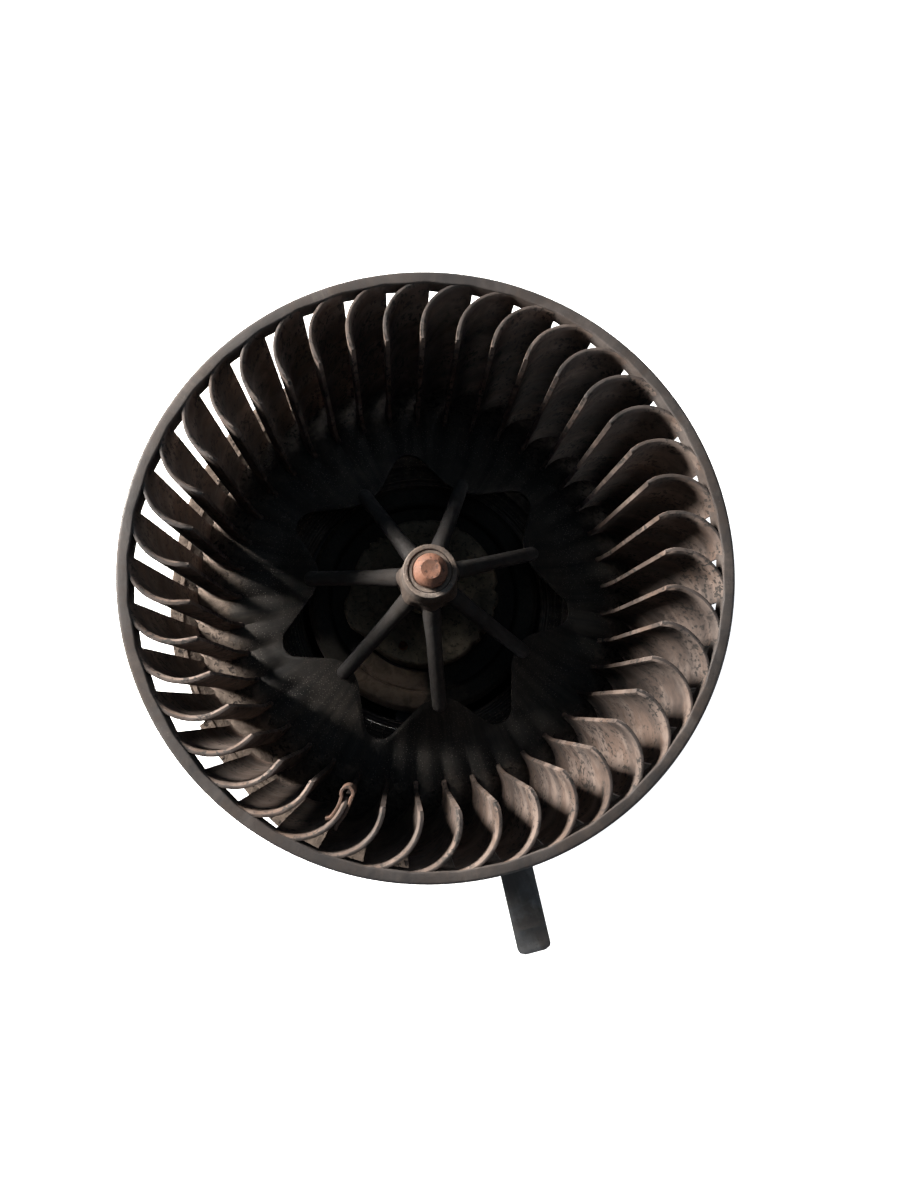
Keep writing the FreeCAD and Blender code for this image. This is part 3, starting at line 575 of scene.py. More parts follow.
def painted_groove_shade(n, patch, colour):
    """Painted shade: blackens the motor cap below its boss's rim as painted shadow, all but the raised shelf
    in the groove, which gets a painted lit brown.
    """
    x, y, z = n.place("X"), n.place("Y"), n.place("Z")
    toward = n.math("ADD", n.times(x, cos(PLATFORM)), n.times(y, sin(PLATFORM)))
    on_shelf = n.span(n.math("DIVIDE", toward, n.radius()), 0.88, 0.93)
    shelf_height = n.times(n.span(z, 0.0118, 0.0130), n.span(z, 0.015, 0.0165, 1, 0))
    shelf = n.times(on_shelf, shelf_height)
    # painted light: the brown the shelf shows where the light catches it
    brown = n.mix(n.span(patch, 0.3, 0.6), (0.024, 0.017, 0.012), (0.056, 0.040, 0.029))
    # painted shade: darker towards the bottom of the cap, black well below the rim, in place of the shadow
    # there
    unshaded = n.math("MAXIMUM", n.span(z, 0.0145, 0.0185, 0.16, 1.0), shelf)
    return n.mix(unshaded, (0.0, 0.0, 0.0), n.mix(shelf, colour, brown))


def worn_metal(name, colour, grime, rough=0.35, grime_amount=0.5, lines=(1.0, 1.0, 0.05)):
    """Metal with a film of grime and fine scratches."""
    n = Nodes(name)
    broad = n.noise(60, 5, 0.6, warp=0.5)
    scratch = n.noise(700, 3, 0.6, n.stretched(lines))
    mask = n.span(broad, 0.5 - grime_amount * 0.4, 0.62)
    tint = n.mix(mask, colour, grime)
    tint = n.mix(n.span(scratch, 0.5, 0.8, 0.0, 0.25), tint, scaled(colour, 1.5))
    shine = n.span(mask, 0.0, 1.0, rough, 0.75)
    normal = n.bump(scratch, 0.12, 0.0002, n.bump(broad, 0.1, 0.0004))
    return n.finish(tint, shine, normal, metal=1.0)


def plain(name, base, second, scale=300, rough=0.6, metal=0.0, bump=0.15):
    """Two close tones in fine noise, for the small inner pieces."""
    n = Nodes(name)
    mottled = n.noise(scale, 4, 0.6)
    colour = n.mix(n.span(mottled, 0.35, 0.65), base, second)
    return n.finish(colour, n.span(mottled, 0.3, 0.7, rough, min(1.0, rough + 0.15)),
                    n.bump(mottled, bump, 0.0003), metal=metal)


# ---- materials of the visible pieces ----
RING = dusty_plastic("ring_plastic", dust=(0.061, 0.051, 0.046), top_dust=0.60, side_dust=0.90,
                     streaks=(60.0, 60.0, 60.0), grain=1.0, pits=0.35, flecks=0.2)
BLADE = dusty_plastic("blade_plastic", dust=(0.122, 0.093, 0.078), top_dust=0.95, side_dust=0.86,
                      streaks=(2.0, 30.0, 160.0), grain=0.8, pits=0.9, flecks=0.2, flat_dust=0.40,
                      speck_level=0.42)
SPOKE = dusty_plastic("spoke_plastic", dust=(0.033, 0.030, 0.028), top_dust=0.80, side_dust=0.40,
                      streaks=(4.0, 60.0, 60.0), grain=2.2, pits=0.5, flecks=0.5)
HUB = dusty_plastic("hub_plastic", dust=(0.190, 0.158, 0.135), top_dust=0.95, side_dust=0.42,
                    streaks=(12.0, 200.0, 50.0), grain=2.6, pits=0.6, flecks=0.7)
BUSH = dusty_plastic("bush_metal", dust=(0.180, 0.148, 0.126), top_dust=0.9, side_dust=0.5,
                     streaks=(12.0, 200.0, 50.0), grain=2.4, pits=0.6, flecks=0.6,
                     base=(0.05, 0.042, 0.036))
SHELL = dusty_plastic("shell_plastic", dust=(0.10, 0.078, 0.062), top_dust=0.8, side_dust=0.28,
                      streaks=(20.0, 60.0, 12.0), grain=0.7, pits=0.3, flecks=0.3)
TONGUE = dusty_plastic("tongue_plastic", dust=(0.125, 0.129, 0.133), top_dust=0.85, side_dust=0.45,
                       streaks=(30.0, 12.0, 20.0), grain=0.5, pits=0.3, flecks=0.2)
PLATE = crusted_plastic("backplate_plastic", (0.006, 0.007, 0.008), film_dust=(0.036, 0.032, 0.028),
                        crust=(0.078, 0.062, 0.051), start=0.046, end=0.064)
HOUSING = crusted_plastic("flange_plastic", (0.014, 0.013, 0.013), film_dust=(0.06, 0.047, 0.037),
                          crust=(0.092, 0.073, 0.060), start=0.040, end=0.058)
RUST = rusty("rusty_tip", (0.155, 0.068, 0.040), (0.085, 0.039, 0.024))
CLIP = rusty("rusty_clip", (0.105, 0.056, 0.036), (0.045, 0.027, 0.020))
# the cap's colour holds painted shade below its boss's rim and a painted lit shelf in the groove
CAP = rusty("cap_steel", (0.054, 0.044, 0.031), (0.025, 0.021, 0.015), 0.0, 0.15, painted_groove_shade)
SPRING = worn_metal("coil_steel", (0.5, 0.5, 0.5), (0.2, 0.2, 0.2), 0.25, 0.2)

# ---- materials of the pieces kept as the CAD made them ----
STEEL = worn_metal("can_steel", (0.42, 0.41, 0.38), (0.12, 0.1, 0.08), 0.38)
CLIP_STEEL = worn_metal("spring_steel", (0.45, 0.45, 0.45), (0.2, 0.18, 0.15), 0.3, 0.2)
FERRITE = plain("ferrite", (0.035, 0.036, 0.04), (0.06, 0.06, 0.065), 400)
BRONZE = plain("sintered_bronze", (0.32, 0.19, 0.08), (0.22, 0.12, 0.05), 1400, 0.45, 0.8, 0.4)
CARBON = plain("carbon", (0.02, 0.02, 0.02), (0.04, 0.04, 0.04), 1200, 0.45)
KEPT = {
    "armature_core": worn_metal("lamination_steel", (0.33, 0.33, 0.33), (0.1, 0.09, 0.08),
                                grime_amount=0.3, lines=(0.05, 0.05, 1.0)),
    "armature_insulators": plain("insulation_fibre", (0.05, 0.02, 0.014), (0.08, 0.035, 0.02)),
    "thrust_washers": plain("washer_fibre", (0.22, 0.1, 0.04), (0.3, 0.15, 0.07)),
    "armature_windings": plain("winding_copper", (0.16, 0.05, 0.02), (0.08, 0.025, 0.01), 900, 0.3, 0.6, 0.5),
    "commutator_core": plain("moulding_compound", (0.06, 0.03, 0.015), (0.1, 0.05, 0.025)),
    "commutator_segments": worn_metal("commutator_copper", (0.7, 0.33, 0.2), (0.12, 0.07, 0.05),
                                      0.25, 0.4, (1.0, 1.0, 12.0)),
    "motor_can": STEEL,
    "motor_rear_cap": STEEL,
    "magnet_front": FERRITE,
    "magnet_back": FERRITE,
    "magnet_clips": CLIP_STEEL,
    "front_bearing": BRONZE,
    "rear_bearing": BRONZE,
    "bearing_retainers": CLIP_STEEL,
    "oil_felts": plain("felt", (0.16, 0.13, 0.08), (0.24, 0.2, 0.13), 2200, 0.95, bump=0.9),
    "brush_plate": plain("brush_plate_phenolic", (0.07, 0.035, 0.018), (0.11, 0.055, 0.028)),
    "brush_boxes": worn_metal("brass", (0.62, 0.42, 0.16), (0.2, 0.13, 0.06), 0.3, 0.3),
    "brush_right": CARBON,
    "brush_left": CARBON,
    "choke_coils": plain("choke_copper", (0.45, 0.15, 0.05), (0.3, 0.09, 0.03), 900, 0.3, 0.6, 0.5),
    "suppression_capacitor": plain("capacitor_resin", (0.5, 0.24, 0.03), (0.42, 0.19, 0.02), rough=0.25),
    "motor_leads": plain("lead_insulation", (0.25, 0.02, 0.015), (0.2, 0.015, 0.01), rough=0.4),
    "rubber_isolators": plain("isolator_rubber", (0.018, 0.018, 0.018), (0.03, 0.029, 0.028), 500, 0.8),
    "rear_cover": SHELL,
    "connector_socket": SHELL,
    "cover_screws": worn_metal("screw_steel", (0.45, 0.44, 0.4), (0.16, 0.12, 0.08)),
    "terminal_pins": worn_metal("tinned_brass", (0.6, 0.58, 0.5), (0.3, 0.25, 0.18), 0.3, 0.3),
}


def keep_cad_pieces():
    """CAD nodes that stay: their material, joined surfaces and a small eased edge."""
    for name, material in KEPT.items():
        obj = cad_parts[name]
        obj.data.materials.clear()
        obj.data.materials.append(material)
        weld = obj.modifiers.new("weld", "WELD")
        weld.merge_threshold = 1e-6
        bevel = ease_edges(obj, KEPT_EDGE)
        bevel.limit_method = "ANGLE"
        bevel.angle_limit = radians(35)


# ---- fan wheel ----
def blade_line(t):
    """Point and outward normal on a blade's middle line; t is the turned angle from its inner tip."""
    centre = Vector((TIP_RADIUS, 0)) + polar(BLADE_CURVE, BLADE_LEAN - TAU / 4).xy
    out = Vector((sin(t - BLADE_LEAN), cos(t - BLADE_LEAN)))
    return centre + out * BLADE_CURVE, out


def foot_angle(radius):
    """Angle between a blade's inner tip and its middle line at a radius."""
    if radius <= TIP_RADIUS:
        return 0.0
    low, high = 0.0, BLADE_END
    for _ in range(24):
        middle = (low + high) / 2
        if blade_line(middle)[0].length < radius:
            low = middle
        else:
            high = middle
    p = blade_line(low)[0]
    return atan2(p.y, p.x)


def plate_height(radius, angle):
    """Top surface of the backplate: a rounded ridge between each pair of blades, sharp valleys at them."""
    base = smooth_between(PLATE_PROFILE, radius, 2.4)
    phase = (angle - BLADE_FIRST - foot_angle(radius)) / BLADE_STEP
    ridge = abs(sin(pi * phase)) ** (2.0 - 1.15 * ease(radius, 36.0, 52.0))
    proud = FLUTE_RISE * ease(radius, 38.0, 56.0) * (1 - 0.9 * ease(radius, 56.0, 65.0))
    return base + proud * ridge


def fan_ring():
    """Top ring: eased outer edge and an inner edge made of one flat per blade."""
    profile = rounded([(RING_INNER, RING_BOTTOM), (RING_RADIUS - 0.35, RING_BOTTOM),
                       (RING_RADIUS, RING_BOTTOM + 0.6), (RING_RADIUS, RING_TOP - 0.35),
                       (RING_RADIUS - 0.45, RING_TOP), (RING_INNER + 0.1, RING_TOP - 0.1)], 0.3, 3)
    corner = blade_line(BLADE_JOINT)[0]
    joint = atan2(corner.y, corner.x)

    def flats(r, z, angle):
        phase = ((angle - BLADE_FIRST - joint) / BLADE_STEP) % 1.0
        return r - 0.32 * sin(pi * phase) * (1 - ease(r, RING_INNER, RING_INNER + 1.2)), z
    build = Build().lathe(profile, BLADE_COUNT * 12, flats)
    return build.make("wheel_ring", RING, "rotor", ["fan_ring"], "wheel_plastic")


def blade_levels():
    """Levels up a blade: kind, measure, and how far its outer and inner faces stand proud."""
    levels = [("foot", height, flare, flare) for height, flare in FOOT_FILLET]
    levels += [("wall", share, 0.0, 0.0) for share in (0.15, 0.3, 0.45, 0.6, 0.75, 0.9)]
    return levels + [("top", *bevel) for bevel in TOP_BEVEL]


def one_blade_rows():
    """Rows of points up one blade: flared foot, plain wall, bevelled top edge and cut-back inner tip."""
    steps = 20
    foot_top, bevel_depth = FOOT_FILLET[-1][0], TOP_BEVEL[0][0]
    turns = [BLADE_END * (k / steps) ** 1.25 for k in range(steps + 1)]
    line = [(t, *blade_line(t)) for t in turns]
    rows = []
    for kind, level, grow_out, grow_in in blade_levels():
        row = []
        for outward, grow in ((1, grow_out), (-1, grow_in)):
            for t, p, out in line[::outward]:
                along = t * BLADE_CURVE
                half = BLADE_HALF - 0.06 * ease(t, 0.9, 1.4) + grow
                half *= 0.78 + 0.22 * ease(along, 0.0, 0.45)
                plate = plate_height(p.length, BLADE_FIRST + atan2(p.y, p.x)) - 0.4
                ceiling = BLADE_TOP - 1.5 * (1 - ease(along, 0.1, 2.2)) ** 1.3
                if kind == "foot":
                    z = plate + level
                elif kind == "wall":
                    z = plate + foot_top + (ceiling - bevel_depth - foot_top - plate) * level
                else:
                    z = ceiling - level
                lift = max(0.0, 1 - (z - plate) / 9.0) ** 2
                inward = Vector((-1, 0)) * 2.4 * lift * (1 - ease(along, 0.0, 4.0))
                place = p + inward + out * outward * half
                row.append(Vector((*(place * min(1.0, BLADE_REACH / place.length)), z)))
        rows.append(row)
    return rows


def fan_blades():
    rows = one_blade_rows()
    build = Build()
    for index in range(BLADE_COUNT):
        turn = Matrix.Rotation(BLADE_FIRST + index * BLADE_STEP, 3, "Z")
        build.rows([[turn @ p for p in row] for row in rows])
    return build.make("wheel_blades", BLADE, "rotor", ["fan_blades"], "wheel_plastic", 32)


def rosette_radius(angle):
    """Radius of the backplate's lobed opening at an angle."""
    phase = (angle - SPOKE_FIRST) % SPOKE_STEP
    away = min(phase, SPOKE_STEP - phase)
    nose = PETAL_TIP + PETAL_NOSE
    lobe = LOBE_OUTER - LOBE_CORNER
    nose_centre = Vector((nose, 0))
    lobe_centre = polar(lobe, SPOKE_STEP / 2).xy
    gap = lobe_centre - nose_centre
    lean = acos((PETAL_NOSE + LOBE_CORNER) / gap.length)
    unit = polar(1, atan2(gap.y, gap.x) + lean).xy
    a = nose_centre + unit * PETAL_NOSE
    b = lobe_centre - unit * LOBE_CORNER
    ray = polar(1, away).xy

    def crossing(centre, radius, far):
        along = centre.dot(ray)
        off = radius ** 2 - (centre.length_squared - along ** 2)
        root = sqrt(max(off, 0.0))
        return along + root if far else along - root
    if away <= atan2(a.y, a.x):
        return crossing(nose_centre, PETAL_NOSE, False)
    if away >= atan2(b.y, b.x):
        return crossing(lobe_centre, LOBE_CORNER, True)
    line = b - a
    cross = ray.x * line.y - ray.y * line.x
    return (a.x * line.y - a.y * line.x) / cross


def fan_backplate():
    """Fluted conical plate from the lobed opening out to the blades' feet."""
    segments = BLADE_COUNT * 14
    stations = 40
    rows = []
    for k in range(segments):
        angle = TAU * k / segments
        inner = rosette_radius(angle)
        upper, lower = [], []
        for s in range(stations + 1):
            t = s / stations
            radius = inner + (WHEEL_RADIUS - 0.05 - inner) * t
            z = plate_height(radius, angle)
            edge = 0.45 * (1 - ease(s, 0.0, 2.2)) + 0.35 * ease(s, stations - 1.2, stations)
            upper.append(polar(radius, angle, z - edge))
            lower.append(polar(radius, angle, z - PLATE_THICKNESS + edge * 0.5))
        rows.append(upper + lower[::-1])
    build = Build().rows(rows, closed_rows=True)
    return build.make("wheel_backplate", PLATE, "rotor", ["fan_backplate"], "wheel_plastic", 60)


def fan_spokes():
    """Round spokes whose domed ends lie on the petals and swell into the hub's collar."""
    build = Build()
    for index in range(SPOKE_COUNT):
        angle = SPOKE_FIRST + index * SPOKE_STEP
        start, foot = (polar(r, angle, z) for r, z in (SPOKE_START, SPOKE_FOOT))
        build.capsule(start, foot, SPOKE_RADIUS, SPOKE_RADIUS * 0.93, flare=0.14)
    return build.make("wheel_spokes", SPOKE, "rotor", ["fan_spokes"], "wheel_plastic")


def fan_hub():
    """Hub: a plain round top on a flared collar that is drawn out towards each spoke."""
    radius = reach("fan_hub")
    profile = rounded([(BUSH_RADIUS, HUB_TOP - 0.2), (BUSH_RADIUS + 0.2, HUB_TOP), (6.45, HUB_TOP),
                       (6.65, HUB_TOP - 9), (7.2, HUB_TOP - 11.0), (radius - 0.7, HUB_TOP - 14.5),
                       (radius - 0.6, HUB_TOP - 21), (radius - 1.4, HUB_BOTTOM),
                       (BUSH_RADIUS, HUB_BOTTOM)], 0.35, 5)

    def swell(r, z, angle):
        amount = ease(z, HUB_TOP - 9, HUB_TOP - 14) * ease(r, 6.5, 8.0)
        return r - 1.15 * amount * (0.5 - 0.5 * cos(SPOKE_COUNT * (angle - SPOKE_FIRST))), z
    return Build().lathe(profile, 168, swell).make("wheel_hub", HUB, "rotor", ["fan_hub"], "wheel_plastic")


def hub_bush():
    inner = SHAFT_RADIUS + 0.02
    profile = rounded([(inner, BUSH_TOP - 0.25), (inner + 0.3, BUSH_TOP), (BUSH_RADIUS - 0.15, BUSH_TOP),
                       (BUSH_RADIUS - 0.02, BUSH_TOP - 0.3), (BUSH_RADIUS - 0.02, HUB_BOTTOM),
                       (inner, HUB_BOTTOM)], 0.15, 3)
    return Build().lathe(profile, 96).make("hub_bush_detail", BUSH, "rotor", ["hub_bush"], "bush_metal")


def motor_shaft():
    """Shaft with a wide chamfer and a slightly dished end."""
    flat = 2.25
    lengths = 10
    low = bottom("motor_shaft")
    profile = [(0.02, low), (SHAFT_RADIUS - 0.5, low), (SHAFT_RADIUS, low + 0.5)]
    profile += [(SHAFT_RADIUS, low + (SHAFT_TOP - low) * k / lengths) for k in range(1, lengths)]
    profile += [(SHAFT_RADIUS, SHAFT_TOP - 1.75), (SHAFT_RADIUS - 0.12, SHAFT_TOP - 1.35),
                (flat + 0.25, SHAFT_TOP - 0.12), (flat, SHAFT_TOP), (flat - 0.4, SHAFT_TOP - 0.02),
                (1.0, SHAFT_TOP - 0.14), (0.02, SHAFT_TOP - 0.16)]
    build = Build().lathe(profile, 96)
    return build.make("motor_shaft_detail", RUST, "rotor", ["motor_shaft"], "shaft_steel", 25)


def balance_clip():
    """Spring strip bent into a round hairpin and pushed over the inner edge of one blade."""
    half = 0.38
    leg = 6.9
    loop = 1.32
    spread = 0.55
    offset = BLADE_HALF + half + 0.02
    lean = asin(offset / loop)
    centre = blade_line(0)[0] - polar(loop * cos(lean), BLADE_LEAN).xy

    def one_leg(side):
        alongs = [leg - 0.35 * k for k in range(19)]
        lines = [(along, *blade_line(along / BLADE_CURVE)) for along in alongs]
        return [p + out * side * (offset + spread * ease(along, leg - 1.0, leg)) for along, p, out in lines]
    turns = [lean + (TAU - 2 * lean) * k / 12 for k in range(13)]
    middle = one_leg(1) + [centre + polar(loop, a + BLADE_LEAN).xy for a in turns] + one_leg(-1)[::-1]
    turn = Matrix.Rotation(BLADE_FIRST + CLIP_BLADE * BLADE_STEP, 4, "Z")
    low, high = bottom("balance_clip") + 0.2, top("balance_clip") - 0.1
    rows = []
    for index, point in enumerate(middle):
        ahead = middle[min(index + 1, len(middle) - 1)] - middle[max(index - 1, 0)]
        side = Vector((-ahead.y, ahead.x)).normalized() * half
        corners = ((1, low), (-1, low), (-1, high), (1, high))
        rows.append([turn @ Vector((*(point + side * s), z)) for s, z in corners])
    obj = Build().rows(rows).make("balance_clip_detail", CLIP, "rotor", ["balance_clip"], "rusty_steel", 40)
    ease_edges(obj, CLIP_EDGE)
    return obj


# ---- motor ----
def bell(angle, middle, width, power=2):
    """1 at a direction, fading to 0 past a width on either side; a higher power flattens its top."""
    return exp(-(turned_by(angle, middle) / width) ** power)


def motor_front_cap():
    """Stepped cap: a round boss with a flaking rim, a groove with one raised shelf, and a shoulder."""
    wall = 1.3
    groove_end = SHOULDER_INNER - 0.8
    profile = rounded([(6.3, BOSS_TOP - 0.8), (7.4, BOSS_TOP - 0.3), (11.0, BOSS_TOP - 0.1),
                       (12.0, BOSS_TOP - 0.5), (15.5, BOSS_TOP - 0.5), (16.5, BOSS_TOP - 0.1),
                       (BOSS_RADIUS - 0.7, BOSS_TOP), (BOSS_RADIUS, BOSS_TOP - 0.7),
                       (BOSS_RADIUS + 0.1, GROOVE_FLOOR + 1.0), (BOSS_RADIUS + 1.2, GROOVE_FLOOR),
                       (groove_end, GROOVE_FLOOR), (SHOULDER_INNER, SHOULDER_TOP - 0.6),
                       (SHOULDER_INNER + 0.8, SHOULDER_TOP), (CAN_RADIUS - 1.6, SHOULDER_TOP),
                       (CAN_RADIUS - 0.05, SHOULDER_TOP - 1.6), (CAN_RADIUS - 0.05, CAP_BOTTOM),
                       (CAN_RADIUS - 2, CAP_BOTTOM), (CAN_RADIUS - 2, SHOULDER_TOP - wall - 1.4),
                       (SHOULDER_INNER + 0.2, SHOULDER_TOP - wall - 1.4),
                       (BOSS_RADIUS - wall, GROOVE_FLOOR - wall),
                       (BOSS_RADIUS - wall, BOSS_TOP - wall - 0.6), (6.3, BOSS_TOP - wall - 0.8)], 0.4, 3)

    def wear(r, z, angle):
        chipped = sum(depth * bell(angle, radians(at), radians(width))
                      for at, depth, width in RIM_CHIPS)
        beyond = r - BOSS_RADIUS
        rim = ease(beyond, -2.5, -0.6) * (1 - ease(beyond, 0.3, 0.9))
        high = ease(z, BOSS_TOP - 5.0, BOSS_TOP - 3.0)
        ear = 2.4 * bell(angle, EAR, radians(15), 4)
        shelf = 3.2 * bell(angle, PLATFORM, radians(34), 4)
        floor = ease(beyond, 0.4, 1.2) * (1 - ease(r, groove_end, SHOULDER_INNER))
        low = ease(z, GROOVE_FLOOR - 0.3, GROOVE_FLOOR) * (1 - ease(z, 11.5, 13))
        return r + (ear - chipped) * rim * high, z + shelf * floor * low
    build = Build()
    build.lathe(profile, 360, wear)
    dimple_lip = [(1.5, BOSS_TOP - 0.6), (1.6, BOSS_TOP + 0.05), (1.9, BOSS_TOP + 0.16),
                  (2.2, BOSS_TOP + 0.05), (2.35, BOSS_TOP - 0.6)]
    build.lathe(dimple_lip, 32, centre=(-16.4, -5.3, 0))
    cap = build.make("front_cap_detail", CAP, "housing", ["motor_front_cap"], "cap_steel")
    cut_hole(cap, Vector((-6.0, -14.9, BOSS_TOP)), radius=1.3, depth=6.0)
    return cap


def cut_hole(target, place, radius, depth):
    """Round hole along Z through a piece."""
    build = Build()
    build.prism([tuple(polar(radius, TAU * k / 24).xy) for k in range(24)], -depth, depth, 0.0)
    mesh = bpy.data.meshes.new("cutter")
    mesh.from_pydata([(p + place) * MM for p in build.points], [], build.faces)
    cutter = new_object("cutter", mesh)
    boolean = target.modifiers.new("hole", "BOOLEAN")
    boolean.object = cutter
    boolean.solver = "EXACT"
    bpy.context.view_layer.update()
    graph = bpy.context.evaluated_depsgraph_get()
    cut = bpy.data.meshes.new_from_object(target.evaluated_get(graph))
    target.modifiers.clear()
    target.data = cut
    bpy.data.objects.remove(cutter)


# ---- flange and cradle ----
def flange_reach(angle):
    """Rim radius of the flange: round, with three low lobes and two notches."""
    full = FLANGE_RADIUS
    for offset, middle, radius in FLANGE_LOBES:
        away = angle - middle
        full = max(full, offset * cos(away) + sqrt(radius ** 2 - (offset * sin(away)) ** 2))
    in_notch = any(abs(turned_by(angle, notch)) < NOTCH_HALF for notch in NOTCHES)
    return NOTCH_RADIUS if in_notch else full


def mounting_flange():
    """Flange plate: two ridges round the motor, dished floor, spigot wall and flat seat."""
    low = -FLANGE_THICKNESS
    fixed = 73.0
    ridges = []
    for at in (40.6, 42.8):
        ridges += [(at - 0.6, 0.0), (at - 0.3, 0.9), (at + 0.3, 0.9), (at + 0.6, 0.0)]
    profile = rounded([(CRADLE_RADIUS + 0.05, low), (CRADLE_RADIUS + 0.05, -0.05), *ridges, (45.0, -0.2),
                       (46.0, -0.9), (62.0, -0.9), (64.5, 0.2), (67.5, 1.6), (69.6, 2.9),
                       (SPIGOT_INNER + 0.1, 3.5), (SPIGOT_INNER + 0.2, SPIGOT_HEIGHT),
                       (SPIGOT_RADIUS, SPIGOT_HEIGHT), (SPIGOT_RADIUS, -0.25), (73.2, -0.45),
                       (74.2, -0.1), (FLANGE_RADIUS - 0.4, 0.0), (FLANGE_RADIUS, -0.4),
                       (FLANGE_RADIUS, low)], 0.3, 3)

    def follow(r, z, angle):
        if r <= fixed:
            return r, z
        return fixed + (r - fixed) * (flange_reach(angle) - fixed) / (FLANGE_RADIUS - fixed), z
    build = Build().lathe(profile, 1080, follow)
    return build.make("flange_plate", HOUSING, "housing", ["mounting_flange"], "housing_plastic", 42)


def flange_gussets():
    """Triangular gussets between the flange and the cradle."""
    build = Build()
    under = -FLANGE_THICKNESS
    outline = [(CRADLE_RADIUS - 0.2, under + 0.2), (64.0, under + 0.2), (62.5, under - 0.9),
               (CRADLE_RADIUS + 1.2, under - GUSSET_DEPTH + 0.6),
               (CRADLE_RADIUS - 0.2, under - GUSSET_DEPTH + 0.1)]
    stand = Matrix(((1, 0, 0, 0), (0, 0, 1, 0), (0, 1, 0, 0), (0, 0, 0, 1)))
    for index in range(GUSSET_COUNT):
        turn = Matrix.Rotation(TAU * index / GUSSET_COUNT, 4, "Z")
        build.prism(rounded(outline, 0.5, 3), -1.0, 1.0, 0.2, turn @ stand)
    return build.make("flange_gussets", SHELL, "housing", ["mounting_flange"], "housing_plastic")


def motor_cradle():
    """Cup round the motor: stepped mouth, plain wall and three screw bosses."""
    floor = CRADLE_BOTTOM + 0.02
    profile = rounded([(CRADLE_INNER, -1.2), (CRADLE_INNER + 0.8, -0.3), (CRADLE_INNER + 1.2, -1.4),
                       (CRADLE_INNER + 1.7, -1.4), (CRADLE_INNER + 2.0, -0.1), (CRADLE_RADIUS, -0.1),
                       (CRADLE_RADIUS, -30.0), (CRADLE_RADIUS, CRADLE_BOTTOM + 3), (CRADLE_RADIUS, floor),
                       (CAN_RADIUS + 1, floor), (CAN_RADIUS + 1, CRADLE_BOTTOM + 2),
                       (CRADLE_INNER, CRADLE_BOTTOM + 2)], 0.3, 3)
    boss = [(4.3, floor), (4.5, CRADLE_BOTTOM + 0.3), (4.5, CRADLE_BOTTOM + 9.2),
            (3.9, CRADLE_BOTTOM + 9.9), (1.9, CRADLE_BOTTOM + 9.9), (1.9, floor)]
    build = Build()
    build.lathe(profile, 240)
    for angle in SCREW_BOSSES:
        build.lathe(boss, 32, centre=polar(SCREW_CIRCLE, angle))
    return build.make("cradle_cup", SHELL, "housing", ["motor_cradle"], "housing_plastic")


def tongue_matrix():
    """Places a shape drawn along +X on the tongue's own line."""
    return Matrix.Rotation(TONGUE_TURN, 4, "Z") @ Matrix.Translation((0, TONGUE_SHIFT, 0))


def locking_tongue():
    """Flat tongue: rounded end, cross ridge and shallow finger hollow."""
    low, high = bottom("locking_tongue"), top("locking_tongue") - 0.5
    lengths, across = 60, 17
    straight = TONGUE_END - TONGUE_CORNER
    rows = []
    for k in range(lengths + 1):
        x = TONGUE_ROOT + (TONGUE_END - TONGUE_ROOT) * k / lengths
        pull = max(0.0, x - straight)
        width = TONGUE_HALF - TONGUE_CORNER + sqrt(max(TONGUE_CORNER ** 2 - pull ** 2, 0.02))
        end_drop = 0.35 * ease(x, TONGUE_END - 0.8, TONGUE_END)
        upper, lower = [], []
        for j in range(across):
            v = -1 + 2 * j / (across - 1)
            crown = 0.28 * abs(v) ** 6
            ridge = 0.42 * exp(-((x - TONGUE_RIDGE) / 0.55) ** 2) * (1 - abs(v) ** 8)
            hollow = 0.35 * ease(x, 102.4, 104) * (1 - ease(x, 106.5, 108.4)) * (1 - v * v)
            upper.append(Vector((x, v * width, high - crown + ridge - hollow - end_drop)))
            lower.append(Vector((x, v * width, low + 0.2 * abs(v) ** 6 + end_drop * 0.6)))
        rows.append(upper + lower[::-1])
    place = tongue_matrix()
    build = Build().rows([[place @ p for p in row] for row in rows])
    return build.make("tongue_detail", TONGUE, "tongue", ["locking_tongue"], "tongue_plastic", 50)


def hinge_web():
    """Thin film of plastic that joins the tongue to its root."""
    middle = (top("locking_tongue") - 0.5 + bottom("locking_tongue")) / 2
    start, end = TONGUE_ROOT - 0.9, TONGUE_ROOT + 0.4
    half = TONGUE_HALF - 0.4
    lengths = 8
    place = tongue_matrix()
    rows = []
    for k in range(lengths + 1):
        x = start + (end - start) * k / lengths
        thick = 0.36 + 0.3 * (2 * k / lengths - 1) ** 2
        corners = [(-half, -thick), (half, -thick), (half, thick), (-half, thick)]
        rows.append([place @ Vector((x, y, middle + z)) for y, z in corners])
    web = Build().rows(rows).make("hinge_web", TONGUE, None, (), "tongue_plastic")
    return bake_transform(web)


def brush_spring(side, node):
    """Coil spring behind a brush."""
    near, far = sorted((abs(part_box(node)[0].x) / MM, abs(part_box(node)[1].x) / MM))
    middle = (top(node) + bottom(node)) / 2
    coil = (top(node) - bottom(node)) / 2 - WIRE
    length = far - near - 2 * WIRE
    turns = 7
    steps = turns * 20
    path = []
    for k in range(steps + 1):
        a = TAU * turns * k / steps
        x = side * (near + WIRE + length * k / steps)
        path.append(Vector((x, coil * cos(a), middle + coil * sin(a))))
    spring = Build().tube(path, WIRE).make(node + "_coil", SPRING, "housing", [node], "spring_steel")
    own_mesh(spring)
    return spring


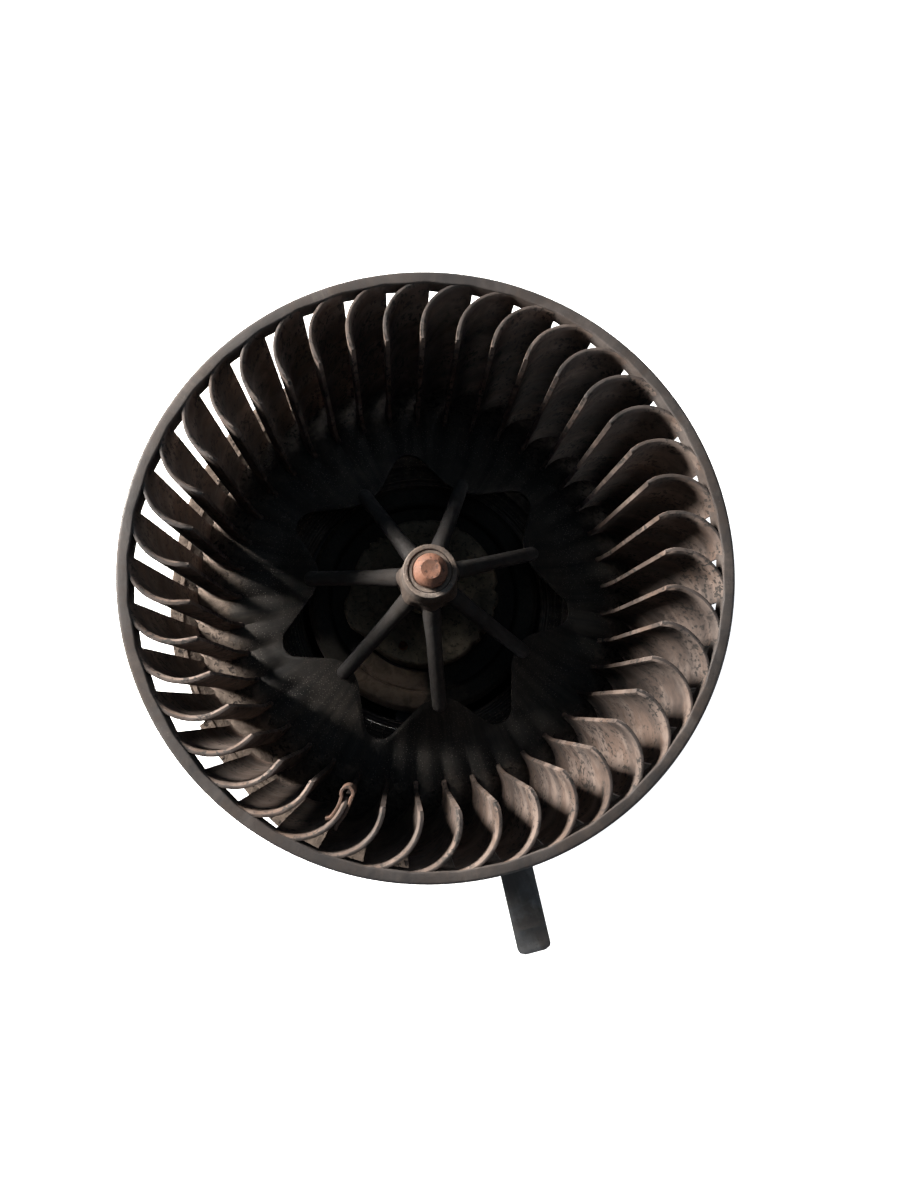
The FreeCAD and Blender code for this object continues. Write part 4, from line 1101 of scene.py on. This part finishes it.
# ---- studio ----
def floor_sheet():
    """Pale paper just under the blower, which lights nothing but itself."""
    low = cad_bounds[0][2] - FLOOR_GAP
    corners = [(x * FLOOR_SIZE, y * FLOOR_SIZE, low) for x, y in ((-1, -1), (1, -1), (1, 1), (-1, 1))]
    mesh = bpy.data.meshes.new("floor")
    mesh.from_pydata(corners, [], [(0, 1, 2, 3)])
    floor = new_object("floor", mesh)
    n = Nodes("floor_paper")
    n.finish(n.mix(n.span(n.noise(30, 3), 0.3, 0.7), (0.78, 0.78, 0.78), (0.8, 0.8, 0.8)), 0.9)
    n.shader.inputs["Emission Color"].default_value = (1.0, 1.0, 1.0, 1.0)
    n.shader.inputs["Emission Strength"].default_value = FLOOR_GLOW
    mesh.materials.append(n.material)
    floor.visible_diffuse = False
    floor.visible_glossy = False


def light(name, place, target, size, power, colour):
    """Round area light that the camera doesn't see."""
    data = bpy.data.lights.new(name, "AREA")
    data.shape = "DISK"
    data.size = size
    data.energy = power
    data.color = colour
    lamp = new_object(name, data)
    lamp.location = place
    lamp.visible_camera = False
    lamp.rotation_euler = (Vector(target) - Vector(place)).to_track_quat("-Z", "Y").to_euler()


def world_light():
    """Faint blue light from all round, which the camera sees as a pale backdrop."""
    world = bpy.data.worlds.new("studio")
    bpy.context.scene.world = world
    world.use_nodes = True
    tree = world.node_tree
    ambient = tree.nodes["Background"]
    ambient.inputs["Color"].default_value = WORLD_COLOUR
    ambient.inputs["Strength"].default_value = WORLD_STRENGTH
    backdrop = tree.nodes.new("ShaderNodeBackground")
    backdrop.inputs["Color"].default_value = BACKDROP_COLOUR
    mixed = tree.nodes.new("ShaderNodeMixShader")
    tree.links.new(tree.nodes.new("ShaderNodeLightPath").outputs["Is Camera Ray"], mixed.inputs[0])
    tree.links.new(ambient.outputs[0], mixed.inputs[1])
    tree.links.new(backdrop.outputs[0], mixed.inputs[2])
    tree.links.new(mixed.outputs[0], tree.nodes["World Output"].inputs["Surface"])


def studio():
    """Floor, one warm key from the upper left, a wide cool top light and three low side lights."""
    floor_sheet()
    light("key", KEY_PLACE, KEY_TARGET, KEY_SIZE, KEY_POWER, KEY_COLOUR)
    light("top", TOP_PLACE, (0, 0, 0), TOP_SIZE, TOP_POWER, TOP_COLOUR)
    for name, place in SIDE_PLACES.items():
        light(name, place, (0, 0, 0), SIDE_SIZE, SIDE_POWER, SIDE_COLOUR)
    world_light()
    bpy.context.scene.view_settings.view_transform = "Standard"


def camera():
    """Close view almost straight into the wheel, from a little below and left of its axis."""
    data = bpy.data.cameras.new("camera")
    data.sensor_width = CAMERA_SENSOR
    data.lens = CAMERA_LENS
    data.clip_start = 0.01
    cam = new_object("camera", data)
    back = -CAMERA_LOOK.normalized()
    right = CAMERA_UP.cross(back).normalized()
    up = back.cross(right)
    turn = Matrix((right, up, back)).transposed()
    cam.matrix_world = Matrix.Translation(CAMERA_PLACE) @ turn.to_4x4()
    bpy.context.scene.camera = cam


camera()
keep_cad_pieces()
fan_ring()
fan_blades()
fan_backplate()
fan_spokes()
fan_hub()
hub_bush()
motor_shaft()
balance_clip()
motor_front_cap()
mounting_flange()
flange_gussets()
motor_cradle()
locking_tongue()
hinge_web()
brush_spring(1, "brush_spring_right")
brush_spring(-1, "brush_spring_left")
studio()
